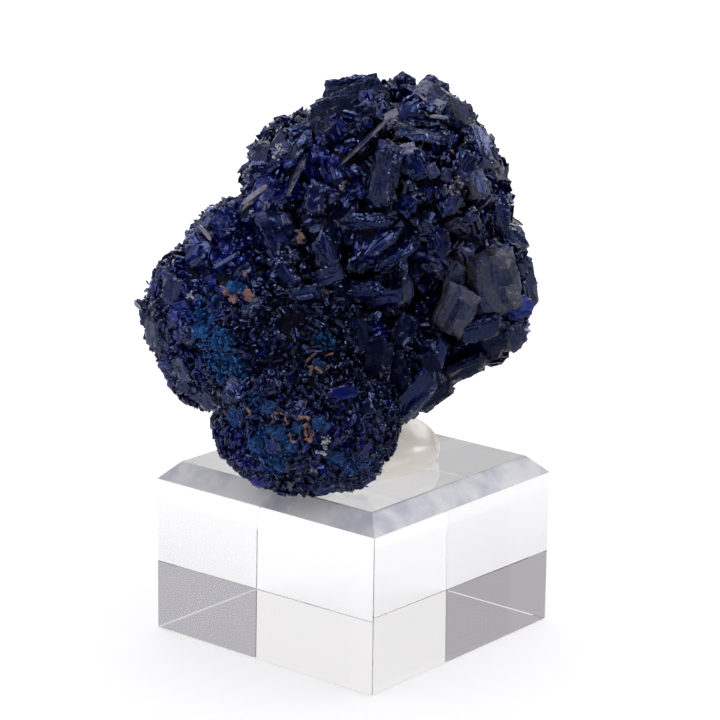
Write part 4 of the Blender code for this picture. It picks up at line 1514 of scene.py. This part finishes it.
COATS = (
    Coat(
        "azurite_books", (Cover.BOOKS,), 2.7, (4.4, 3.2, 0.42), (35, 88), (-1.0, 0.2), (2, 5),
        34, (6, 7, 8, 9), 21,
    ),
    Coat(
        "azurite_scales", (Cover.SCALES,), 2.6, (4.2, 3.7, 0.50), (15, 62), (-0.9, 0.0), (1, 3),
        16, (5, 6, 7), 25, on_plates=0.2,
    ),
    Coat(
        "azurite_small_blades", (Cover.BOOKS, Cover.SCALES), 2.0, (2.3, 1.7, 0.30), (20, 85),
        (-1.5, -0.1), (1, 3), 26, (5, 6, 7), 22,
    ),
    Coat(
        "azurite_small_plates", (Cover.DRUSE,), 1.9, (2.4, 1.9, 0.28), (30, 88), (-0.9, 0.2),
        (1, 4), 30, (5, 6, 7), 26, on_plates=0.4,
    ),
    Coat(
        "azurite_fibres", (Cover.DRUSE,), 2.5, (2.2, 0.9, 0.28), (45, 88), (-0.7, 0.1), (2, 4),
        30, (), 24, lying=True, on_plates=0.4,
    ),
    Coat(
        "azurite_druse", (Cover.DRUSE, Cover.SCALES), 1.2, (1.1, 0.8, 0.26), (20, 88),
        (-0.9, -0.05), (1, 1), 0, (4, 5, 6), 23, on_plates=0.3,
    ),
    Coat(
        "azure_grains", (Cover.DRUSE, Cover.SCALES), 0.85, (0.9, 0.65, 0.25), (25, 88),
        (-0.3, 0.25), (1, 1), 0, (4, 5, 6), 28, on_plates=1.0, azure_only=True,
    ),
)
ROSETTE = Coat(
    "azure_rosettes", (), 0.42, (1.2, 0.8, 0.3), (50, 90), (0.0, 0.3), (1, 1), 0, (4, 5, 6), 27
)


def turned(vectors: np.ndarray, about: np.ndarray, angles: np.ndarray) -> np.ndarray:
    """Each vector turned about its own unit axis by its own angle, in radians."""
    cos, sin = np.cos(angles)[:, None], np.sin(angles)[:, None]
    along = np.sum(vectors * about, axis=1, keepdims=True) * about
    return vectors * cos + np.cross(about, vectors) * sin + along * (1 - cos)


def unit(vectors: np.ndarray) -> np.ndarray:
    """Each vector at length 1."""
    return vectors / np.linalg.norm(vectors, axis=1, keepdims=True)


@dataclass
class SmallCrystals:
    """One coat of small crystals."""

    coat: Coat
    leading: list[Tablet]
    sway_scale: float = 6.0

    def sites(self, rng: np.random.Generator) -> Iterator[tuple[Lobe, np.ndarray, np.ndarray]]:
        """The points and normals that carry a crystal, lobe by lobe, in millimetres."""
        for name, lobe in LOBES.items():
            if lobe.cover not in self.coat.covers:
                continue
            spacing = self.coat.spacing * lobe.grain
            directions = spiral(round(lobe.area() / spacing**2))
            directions = unit(directions + rng.normal(0, 0.35 * spacing / 12, directions.shape))
            points, normals = lobe.surface(directions)
            free = outside_others(points, name, 0.93)
            for spot in HOLLOWS:
                free &= spot.nearness(points) < rng.uniform(-0.2, 0.25, len(points))
            if self.coat.azure_only:
                free &= azure_share(points) > rng.uniform(0.1, 0.9, len(points))
            elif self.coat.size[0] > FINE_LENGTH:
                free &= azure_share(points) < rng.uniform(0.1, 1.3, len(points))
            free &= ~self.on_a_face(points) | (rng.random(len(points)) < self.coat.on_plates)
            yield lobe, points[free], normals[free]

    def on_a_face(self, points: np.ndarray) -> np.ndarray:
        """Which points, in millimetres, lie on or in a leading crystal."""
        world = to_world(points)
        taken = np.zeros(len(points), bool)
        for tablet in self.leading:
            local = (world - np.array(tablet.middle)) @ np.array(tablet.axes)
            half = np.array(tablet.size) / 2
            flat = (local[:, 0] / half[0]) ** 2 + (local[:, 1] / half[1]) ** 2 < 0.7
            taken |= flat & (np.abs(local[:, 2]) < half[2] + 1.2 * MM)
        return taken

    def headings(self, points: np.ndarray, rng: np.random.Generator) -> np.ndarray:
        """The way round that each site's crystal lies, from a smooth noise, in radians."""
        sway = [noise.noise(Vector(p) / self.sway_scale) for p in points]
        return np.array(sway) * 2 * math.pi + rng.uniform(-0.45, 0.45, len(points))

    def growth(self, points: np.ndarray, rng: np.random.Generator) -> np.ndarray:
        """The tone, film and azure at each point."""
        tone = rng.random(len(points)) ** 2.5 * 0.7
        film = rng.random(len(points)) ** 4 * 0.55
        for spot in BLUE_SPOTS:
            share = np.clip(spot.nearness(points) * 1.8, 0, 1.1)
            tone += share * rng.random(len(points))
            film *= 1 - share * 0.5
        for spot in FILM_SPOTS:
            film += np.clip(spot.nearness(points) * 1.2, 0, 0.45) * rng.random(len(points))
        azure = azure_share(points) * rng.uniform(0.1, 1.0, len(points)) ** 0.5
        # Painted shade: darker tone and film in the recesses.
        for spot in PAINTED_SHADE_SPOTS:
            shade = 1 - np.clip(spot.nearness(points) * 2.0, 0, 0.9)
            tone, film = tone * shade, film * shade
        return np.clip(np.stack((tone, film, azure), axis=1), 0, 1)

    def build(self, finish: bpy.types.Material) -> bpy.types.Object:
        """Makes the piece."""
        coat = self.coat
        rng = np.random.default_rng(coat.seed)
        mass = CrystalMass(coat.name)
        templates = [scale(sides, rng) for sides in coat.sides] or [slat(rng) for _ in range(6)]
        for lobe, points, normals in self.sites(rng):
            self.cover(mass, templates, lobe, points, normals, rng)
        return mass.build(finish, "azurite_cluster", "azurite")

    def cover(
        self,
        mass: CrystalMass,
        templates: Sequence[Template],
        lobe: Lobe,
        points: np.ndarray,
        normals: np.ndarray,
        rng: np.random.Generator,
    ) -> None:
        """Adds the crystals of one lobe.

        Args:
            mass: Where they go.
            templates: The shapes to choose from.
            lobe: The lobe, for its grain.
            points: The sites, in millimetres.
            normals: The surface's normals there.
            rng: Where the scatter comes from.
        """
        coat, count = self.coat, len(points)
        side = unit(np.cross(normals, np.array((0.31, 0.17, 0.93))))
        side = turned(side, normals, self.headings(points, rng))
        tilt = np.radians(rng.uniform(*coat.tilt, count))
        plates = turned(normals, side, tilt)
        scale = rng.uniform(0.65, 1.25, count) * lobe.grain
        blades = rng.integers(coat.book[0], coat.book[1] + 1, count)
        growth = self.growth(points, rng)
        tips = rng.uniform(*coat.tips, count) * max(lobe.grain, 0.6)
        for number in range(coat.book[1]):
            used = blades > number
            place = number - (blades[used] - 1) / 2
            lean = np.radians(coat.fan) * place / coat.book[1]
            plate_dir = turned(plates[used], side[used], lean)
            length_dir = np.cross(plate_dir, side[used])
            length_dir *= np.sign(np.sum(length_dir * normals[used], axis=1, keepdims=True))
            if coat.lying:
                length_dir = side[used]
            size = np.array(coat.size) * scale[used, None]
            size = size * rng.uniform(0.75, 1.15, size.shape)
            axes = np.stack((length_dir, np.cross(plate_dir, length_dir), plate_dir), axis=2)
            reach = np.abs(np.einsum("nij,ni->nj", axes, normals[used])) * size
            drop = tips[used] - reach.sum(axis=1) / 2 - rng.uniform(0, 0.3, used.sum())
            middle = points[used] + normals[used] * drop[:, None]
            middle += plates[used] * (place * size[:, 2] * 0.9)[:, None]
            shade = growth[used] * rng.uniform(0.8, 1.2, (used.sum(), 3))
            self.plant(mass, templates, axes, middle, size, np.clip(shade, 0, 1), rng)

    @staticmethod
    def plant(
        mass: CrystalMass,
        templates: Sequence[Template],
        axes: np.ndarray,
        middles: np.ndarray,
        sizes: np.ndarray,
        growth: np.ndarray,
        rng: np.random.Generator,
    ) -> None:
        """Adds crystals in random shapes, where the mount leaves room for them.

        Args:
            mass: Where they go.
            templates: The shapes to choose from.
            axes: Each crystal's directions on the cluster's axes, as columns.
            middles: Their middles, in millimetres.
            sizes: Their sizes, in millimetres.
            growth: Their tone, film and azure.
            rng: Where the choice comes from.
        """
        world_axes = np.einsum("ij,njk->nik", CLUSTER_TURN, axes)
        world = to_world(middles)
        corner = world[:, None] + np.einsum(
            "nij,kj,nj->nki", world_axes, spiral(12) * 0.5, sizes * MM
        )
        free = clear_of_mount(corner).all(axis=1)
        choice = rng.integers(0, len(templates), len(world))
        for index, template in enumerate(templates):
            pick = free & (choice == index)
            mass.add(template, world_axes[pick], world[pick], sizes[pick] * MM, growth[pick])


@dataclass
class Rosettes(SmallCrystals):
    """The buds' own crystals, which radiate from them."""

    def sites(self, rng: np.random.Generator) -> Iterator[tuple[Lobe, np.ndarray, np.ndarray]]:
        """The points and normals on the buds, bud by bud, in millimetres."""
        for spot in AZURE_BUDS:
            point, normal = spot.seat()
            out = spiral(round(4 * math.pi * (spot.radius / self.coat.spacing) ** 2))
            out = unit(out + rng.normal(0, 0.12, out.shape))
            out = out[out @ normal > 0.1]
            yield LOBES["foot"], point + (out - normal * 0.55) * spot.radius, out


GLINTS = (
    Spot(-12.1, 30.3, 0.9),
    Spot(-11.4, 33.0, 0.5),
    Spot(4.2, 34.4, 0.8),
    Spot(5.4, 32.6, 0.6),
    Spot(12.6, 33.3, 0.7),
    Spot(16.3, 31.9, 1.1),
    Spot(13.3, 25.3, 1.3),
    Spot(14.5, 26.4, 0.9),
    Spot(16.9, 28.6, 0.5),
    Spot(18.1, 23.6, 0.4),
    Spot(15.2, 33.6, 0.5),
    Spot(8.2, 24.2, 0.5),
    Spot(-2.5, 25.4, 0.7),
    Spot(-1.8, 19.8, 0.6),
    Spot(-5.6, 22.6, 0.5),
    Spot(-4.9, -12.0, 0.8),
    Spot(-5.6, -13.6, 0.5),
    Spot(-24.8, 9.6, 0.4),
    Spot(-30.6, 8.0, 0.5),
    Spot(2.6, -8.8, 0.4),
)
GLINT = Coat(
    "frosted_glints", (), 0.36, (1.2, 0.8, 0.3), (10, 80), (0.1, 0.6), (1, 2), 20, (4, 5, 6), 29
)


@dataclass
class Glints(SmallCrystals):
    """The small pale crystals that catch the light."""

    def sites(self, rng: np.random.Generator) -> Iterator[tuple[Lobe, np.ndarray, np.ndarray]]:
        """The points and normals of each knot of pale crystals, in millimetres."""
        for spot in GLINTS:
            point, normal = spot.seat()
            count = round(3 * (spot.radius / self.coat.spacing) ** 2) + 2
            away = rng.normal(0, spot.radius * 0.5, (count, 3))
            away -= np.outer(away @ normal, normal)
            yield LOBES["foot"], point + away, unit(normal + rng.normal(0, 0.3, (count, 3)))


# ---- Crust, velvet and clay ---------------------------------------------------------------


@dataclass
class Groundmass:
    """The dark crust under the crystals."""

    name: str = "azurite_crust"
    voxel: float = 0.55 * MM
    relief: float = 0.7 * MM

    def build(self, finish: bpy.types.Material) -> bpy.types.Object:
        """Makes the piece: the lobes' cores in one skin, roughened."""
        bm = bmesh.new()
        for lobe in LOBES.values():
            self.core(bm, lobe)
        mesh = bpy.data.meshes.new(self.name)
        bm.to_mesh(mesh)
        bm.free()
        piece = self.skinned(mesh)
        self.roughen(piece.data)
        return dress(piece, finish, "azurite_cluster")

    @staticmethod
    def core(bm: bmesh.types.BMesh, lobe: Lobe) -> None:
        """Adds a lobe's core to the bmesh."""
        scale = Matrix.Diagonal((*(r - lobe.core_depth for r in lobe.radii), 1.0))
        turn = Matrix.Rotation(SHOW_TURN, 4, "Z")
        matrix = Matrix.Scale(MM, 4) @ turn @ Matrix.Translation(lobe.centre) @ scale
        bmesh.ops.create_icosphere(bm, subdivisions=4, radius=1.0, matrix=matrix)

    def skinned(self, mesh: bpy.types.Mesh) -> bpy.types.Object:
        """The mesh's bodies under one skin."""
        rough = bpy.data.objects.new("core_shapes", mesh)
        bpy.context.scene.collection.objects.link(rough)
        skin = rough.modifiers.new("skin", "REMESH")
        skin.mode = "VOXEL"
        skin.voxel_size = self.voxel
        graph = bpy.context.evaluated_depsgraph_get()
        joined = bpy.data.meshes.new_from_object(rough.evaluated_get(graph))
        bpy.data.objects.remove(rough)
        joined.name = self.name
        return bpy.data.objects.new(self.name, joined)

    def roughen(self, mesh: bpy.types.Mesh) -> None:
        """Moves the skin in and out along its normals, and in at the hollows."""
        count = len(mesh.vertices)
        points, normals = np.zeros(count * 3), np.zeros(count * 3)
        mesh.vertices.foreach_get("co", points)
        mesh.vertices.foreach_get("normal", normals)
        points, normals = points.reshape(-1, 3), normals.reshape(-1, 3)
        here = points @ CLUSTER_TURN / MM
        push = np.array([noise.turbulence(Vector(p) / 2.2, 3, False) - 0.45 for p in here])
        push = push * self.relief * 1.6
        for spot in HOLLOWS:
            push -= np.clip(spot.nearness(here), 0, 1) * 2.2 * MM
        moved = points + normals * push[:, None]
        safe = clear_of_mount(moved)
        moved = np.where(safe[:, None], moved, points)
        mesh.vertices.foreach_set("co", moved.ravel())
        mesh.update()
        growth = np.zeros((count, 4))
        growth[:, 2] = azure_share(here)
        colour = mesh.attributes.new(GROWTH_COLOUR, "FLOAT_COLOR", "POINT")
        colour.data.foreach_set("color", growth.ravel())


@dataclass
class Crust:
    """Small crusty lumps gathered in one piece."""

    name: str
    seed: int
    relief: float
    detail: int = 3
    made: bmesh.types.BMesh = field(default_factory=bmesh.new)

    def lump(self, centre: np.ndarray, normal: np.ndarray, size: Triple, turn: float) -> None:
        """Adds a lump.

        Args:
            centre: Its middle in millimetres on the cluster's axes.
            normal: Which way it faces.
            size: Its radii: along, across and up, in millimetres.
            turn: Its turn about the normal.
        """
        steps = bmesh.ops.create_icosphere(self.made, subdivisions=self.detail, radius=1.0)
        face = Vector(normal).to_track_quat("Z", "Y").to_matrix() @ Matrix.Rotation(turn, 3, "Z")
        shift = Vector(centre) + Vector((self.seed, 0, 0))
        for vert in steps["verts"]:
            wide = 1 + 0.5 * noise.noise(vert.co * 1.3 + shift)
            local = Vector(map(float.__mul__, vert.co * wide, size))
            rough = noise.turbulence(local * 2.2 + shift, 3, False) - 0.5
            local += vert.co * rough * self.relief
            vert.co = Vector(to_world(centre + np.array(face @ local)))

    def build(self, finish: bpy.types.Material) -> bpy.types.Object:
        """Makes the piece."""
        mesh = bpy.data.meshes.new(self.name)
        self.made.to_mesh(mesh)
        self.made.free()
        mesh.shade_smooth()
        return dress(bpy.data.objects.new(self.name, mesh), finish, "azurite_cluster")


@dataclass
class Buds(Crust):
    """The round azure buds of the foot."""

    def grow(self) -> None:
        """Adds a bud on each spot."""
        for spot in AZURE_BUDS:
            point, normal = spot.seat()
            size = (spot.radius * 0.95, spot.radius * 0.95, spot.radius * 0.9)
            self.lump(point - normal * spot.radius * 0.6, normal, size, 0.0)


@dataclass
class ClayVeins(Crust):
    """The rusty clay between the crystals."""

    step: float = 0.13

    def grow(self) -> None:
        """Adds a run of lumps along each vein."""
        rng = random.Random(self.seed)
        for vein in VEINS:
            start, end = Vector(vein.start), Vector(vein.end)
            side = (end - start).orthogonal()
            count = max(2, round((end - start).length / self.step))
            for index in range(count + 1):
                share = index / count
                bow = side * vein.bow * 4 * share * (1 - share)
                place = start.lerp(end, share) + bow
                wander = noise.noise_vector(Vector((place.x, place.y, self.seed)) * 1.6)
                point, normal = VIEW.hit(place.x + wander.x * 0.3, place.y + wander.y * 0.3)
                swell = 0.75 + 0.9 * noise.noise(Vector((place.x, self.seed, place.y)) * 1.9)
                width = max(vein.width * swell * 0.52, 0.05)
                size = (width * rng.uniform(1.0, 1.5), width, width * 0.7)
                lift = 0.15 + 0.3 * wander.z
                self.lump(point + normal * lift, normal, size, rng.uniform(0, math.pi))


# ---- The mount ----------------------------------------------------------------------------


@dataclass
class GlueDome:
    """The dome of clear glue, with a soft foot and a bed for the cluster."""

    name: str = "glue_bead"
    turn_steps: int = 96
    profile_steps: int = 28
    fullness: float = 0.94
    radius: float = DOME_RADIUS - 0.25 * MM
    height: float = DOME_HEIGHT - 1.0 * MM

    def build(self, finish: bpy.types.Material) -> bpy.types.Object:
        """Makes the piece."""
        bm = bmesh.new()
        profile = [bm.verts.new(point) for point in self.profile()]
        for a, b in zip(profile, profile[1:]):
            bm.edges.new((a, b))
        bmesh.ops.spin(
            bm, geom=bm.verts[:] + bm.edges[:], cent=(0, 0, 0), axis=(0, 0, 1),
            angle=2 * math.pi, steps=self.turn_steps, use_merge=True,
        )
        bmesh.ops.remove_doubles(bm, verts=bm.verts, dist=0.01 * MM)
        bmesh.ops.recalc_face_normals(bm, faces=bm.faces)
        self.press(bm)
        mesh = bpy.data.meshes.new(self.name)
        bm.to_mesh(mesh)
        bm.free()
        mesh.shade_smooth()
        mesh.set_sharp_from_angle(angle=math.radians(50))
        return dress(bpy.data.objects.new(self.name, mesh), finish, "glue_dome")

    def profile(self) -> Iterator[Triple]:
        """The half outline, from the top to the middle of the foot, in metres."""
        low = BLOCK_HEIGHT + TOUCH_GAP
        tuck = 1.2 * MM
        for step in range(self.profile_steps + 1):
            angle = math.pi / 2 * step / self.profile_steps
            out, up = math.sin(angle) ** self.fullness, math.cos(angle) ** self.fullness
            yield self.radius * out, 0.0, low + tuck + (self.height - tuck) * up
        yield self.radius - 0.15 * MM, 0.0, low + tuck * 0.5
        yield self.radius - 0.5 * MM, 0.0, low
        yield 0.0, 0.0, low

    @staticmethod
    def press(bm: bmesh.types.BMesh) -> None:
        """Pushes the glue down where the cluster's core sits in it, and makes it a little uneven."""
        low = BLOCK_HEIGHT + TOUCH_GAP
        for vert in bm.verts:
            if vert.co.z < low + 0.01 * MM:
                continue
            share = (vert.co.z - low) / DOME_HEIGHT
            wave = noise.noise(vert.co / (5 * MM)) * 0.05 * share
            vert.co.x *= 1 + wave
            vert.co.y *= 1 + wave
            for name in ("seat", "foot", "toe"):
                lobe = LOBES[name]
                here = np.array(vert.co)[None] @ CLUSTER_TURN / MM
                radii = np.array(lobe.radii) - lobe.core_depth + TOUCH_GAP / MM
                while np.linalg.norm((here - lobe.centre) / radii) < 1 and vert.co.z > low:
                    vert.co.z = max(low, vert.co.z - 0.1 * MM)
                    here = np.array(vert.co)[None] @ CLUSTER_TURN / MM


@dataclass
class AcrylicBlock:
    """The clear block: square, with a wide chamfer round its top and eased edges."""

    name: str = "clear_block"
    ease: float = 0.12 * MM

    def build(
        self, finish: bpy.types.Material, chamfer: bpy.types.Material
    ) -> bpy.types.Object:
        """Makes the piece, with a second finish on its chamfers."""
        bm = bmesh.new()
        bmesh.ops.create_cube(bm, size=1.0)
        bmesh.ops.scale(bm, vec=(BLOCK_SIDE, BLOCK_SIDE, BLOCK_HEIGHT), verts=bm.verts)
        bmesh.ops.translate(bm, vec=(0, 0, BLOCK_HEIGHT / 2), verts=bm.verts)
        top = [e for e in bm.edges if all(v.co.z > BLOCK_HEIGHT * 0.99 for v in e.verts)]
        bmesh.ops.bevel(
            bm, geom=top, offset=BLOCK_CHAMFER, segments=1, profile=0.5, affect="EDGES", material=-1
        )
        bmesh.ops.bevel(
            bm, geom=bm.edges[:], offset=self.ease, segments=2, profile=0.5, affect="EDGES",
            material=-1,
        )
        mesh = bpy.data.meshes.new(self.name)
        bm.to_mesh(mesh)
        bm.free()
        mesh.shade_flat()
        block = dress(bpy.data.objects.new(self.name, mesh), finish, "acrylic_block")
        block.data.materials.append(chamfer)
        for face in block.data.polygons:
            if face.center.z > BLOCK_HEIGHT - BLOCK_CHAMFER and face.normal.z < 0.99:
                face.material_index = 1
        return block


# ---- The studio ---------------------------------------------------------------------------


@dataclass(frozen=True)
class Sky:
    """The light from each side, as seen from the show camera."""

    left: Colour = (0.44, 0.411, 0.445)
    right: Colour = (0.48, 0.468, 0.504)
    front: Colour = (0.06, 0.06, 0.075)
    wall: Colour = (0.91, 0.895, 0.89)
    roof: Colour = (0.95, 0.95, 0.98)
    shown: Colour = (1.0, 1.0, 1.0)
    window: Colour = (11.0, 11.0, 12.0)
    windows: tuple[Triple, ...] = (
        (-0.62, -0.35, 0.70),
        (0.45, -0.60, 0.66),
        (0.80, 0.30, 0.52),
        (-0.15, -0.78, 0.61),
        (0.08, -0.30, 0.95),
        (-0.85, -0.35, 0.39),
        (0.80, -0.50, 0.33),
        (-0.40, 0.35, 0.85),
    )
    window_edge: tuple[float, float] = (0.989, 0.995)
    flag: Triple = (-0.2, -0.15, 0.97)
    flag_edge: tuple[float, float] = (0.90, 0.97)
    patch_size: float = 0.45
    patches: tuple[float, float] = (0.12, 2.3)
    mirrored_front: float = 0.25

    def make(self) -> None:
        """Makes it the scene's world."""
        world = bpy.data.worlds.new("studio_sky")
        bpy.context.scene.world = world
        world.use_nodes = True
        graph = Graph(world.node_tree)
        right, _, back = VIEW.axes()
        ahead = Vector((-back.x, -back.y, 0.0)).normalized()
        facing = self.along(graph, ahead)
        sides = graph.mix(self.along(graph, right).eased(-0.3, 0.3), self.left, self.right)
        lit = graph.mix(facing.eased(0.60, 0.80), sides, self.wall)
        lit = graph.mix(facing.eased(-0.35, -0.70), lit, self.front)
        lit = graph.mix(self.along(graph, Vector((0, 0, 1))).eased(0.50, 0.75), lit, self.roof)
        ray = graph.add("ShaderNodeLightPath", output="Is Camera Ray")
        through = ray.also("Is Transmission Ray")
        bounced = ray.also("Is Glossy Ray") * (1 - through)
        mirrored = self.mirrored(graph, lit, facing)
        lit = graph.mix(bounced, lit, mirrored)
        lit = graph.mix(ray, lit, self.shown)
        graph.links.new(lit.socket, graph.nodes["Background"].inputs["Color"])

    @staticmethod
    def scaled(graph: Graph, lit: Wire, factor: Wire) -> Wire:
        """A colour times a number."""
        settings = {"operation": "SCALE"}
        return graph.add("ShaderNodeVectorMath", settings, {0: lit, "Scale": factor})

    def mirrored(self, graph: Graph, lit: Wire, facing: Wire) -> Wire:
        """The sky as glossy faces show it.

        Args:
            graph: The sky's nodes.
            lit: The plain sky.
            facing: How far the sky's direction lies away from the show camera.

        Returns:
            It broken in patches, darker in front, with bright windows.
        """
        where = graph.add("ShaderNodeTexCoord", output="Generated")
        values = {"Vector": where, "Scale": 1 / self.patch_size, "Detail": 1.0}
        patch = graph.add("ShaderNodeTexNoise", {}, values).eased(0.48, 0.56)
        low, high = self.patches
        depth = facing.eased(-0.60, 0.10) * (1 - self.mirrored_front) + self.mirrored_front
        flag = self.along(graph, Vector(CLUSTER_TURN @ self.flag).normalized())
        depth = depth * (1 - flag.eased(*self.flag_edge) * 0.8)
        shown = self.scaled(graph, lit, (patch * (high - low) + low) * depth)
        for window in self.windows:
            direction = Vector(CLUSTER_TURN @ window).normalized()
            shape = self.along(graph, direction).eased(*self.window_edge)
            shown = graph.mix(shape, shown, self.window)
        return shown

    @staticmethod
    def along(graph: Graph, direction: Vector) -> Wire:
        """How far the sky's direction lies along another."""
        where = graph.add("ShaderNodeTexCoord", output="Generated")
        values = {0: where, 1: direction}
        return graph.add("ShaderNodeVectorMath", {"operation": "DOT_PRODUCT"}, values, "Value")


@dataclass(frozen=True)
class Studio:
    """The camera at the show face, the floor and the sky."""

    lens: float = 136.6
    sensor: float = 36.0
    floor_size: float = 4.0
    floor_gap: float = 0.05 * MM
    floor_colour: Colour = (0.925, 0.92, 0.91)
    floor_glow: float = 0.4
    floor_fade: tuple[float, float] = (-0.06, 0.05)
    floor_shade: tuple[float, float] = (1.0, 0.5)

    def camera(self) -> None:
        """Sets the camera."""
        data = bpy.data.cameras.new("show_camera")
        data.lens = self.lens
        data.sensor_width = self.sensor
        data.clip_start = 0.01
        made = bpy.data.objects.new("show_camera", data)
        bpy.context.scene.collection.objects.link(made)
        turn = Matrix(VIEW.axes()).transposed().to_4x4()
        made.matrix_world = Matrix.Translation(VIEW.eye()) @ turn
        bpy.context.scene.camera = made

    def floor(self) -> None:
        """Lays the floor."""
        bm = bmesh.new()
        bmesh.ops.create_circle(bm, cap_ends=True, segments=96, radius=self.floor_size)
        mesh = bpy.data.meshes.new("floor")
        bm.to_mesh(mesh)
        bm.free()
        paint = Paint("white_floor", Roughness=0.9, Emission_Strength=self.floor_glow)
        ray = paint.add("ShaderNodeLightPath", output="Is Camera Ray")
        plain = (ray + ray.also("Is Transmission Ray")).held()
        values = {0: paint.place(), 1: VIEW.axes()[0]}
        dot = {"operation": "DOT_PRODUCT"}
        across = paint.add("ShaderNodeVectorMath", dot, values, "Value")
        left, right = self.floor_shade
        light = across.eased(*self.floor_fade) * (right - left) + left
        light = plain + (1 - plain) * light
        colour = paint.mix(light.held(), (0.0, 0.0, 0.0), self.floor_colour)
        glow = paint.mix(light.held(), (0.0, 0.0, 0.0), (1.0, 1.0, 1.0))
        paint.feed(Base_Color=colour, Emission_Color=glow)
        mesh.materials.append(paint.material)
        made = bpy.data.objects.new("floor", mesh)
        made.location.z = -self.floor_gap
        bpy.context.scene.collection.objects.link(made)

    def build(self) -> None:
        """Sets up the whole studio."""
        bpy.context.scene.view_settings.view_transform = "Standard"
        self.camera()
        self.floor()
        Sky().make()


def main() -> None:
    """Builds the specimen and its studio."""
    logging.basicConfig(level=logging.INFO, format="%(name)s %(message)s")
    Studio().build()
    crystal = CRYSTAL.make()
    large = LargeCrystals()
    large.grow()
    frost_and_highlight = FROST_AND_HIGHLIGHT.make()
    large.build(crystal, frost_and_highlight)
    plates = large.leading + large.rear
    for coat in COATS:
        SmallCrystals(coat, plates).build(crystal)
    Rosettes(ROSETTE, plates).build(crystal)
    Glints(GLINT, plates).build(frost_and_highlight)
    Groundmass().build(GROUND.make())
    buds = Buds("azure_buds", 3, 0.25)
    buds.grow()
    buds.build(VELVET.make())
    veins = ClayVeins("clay_veins", 7, 0.12, detail=2)
    veins.grow()
    veins.build(CLAY.make())
    GlueDome().build(GLUE.make())
    AcrylicBlock().build(ACRYLIC.make(), CHAMFER.make())


if __name__ == "__main__":
    main()
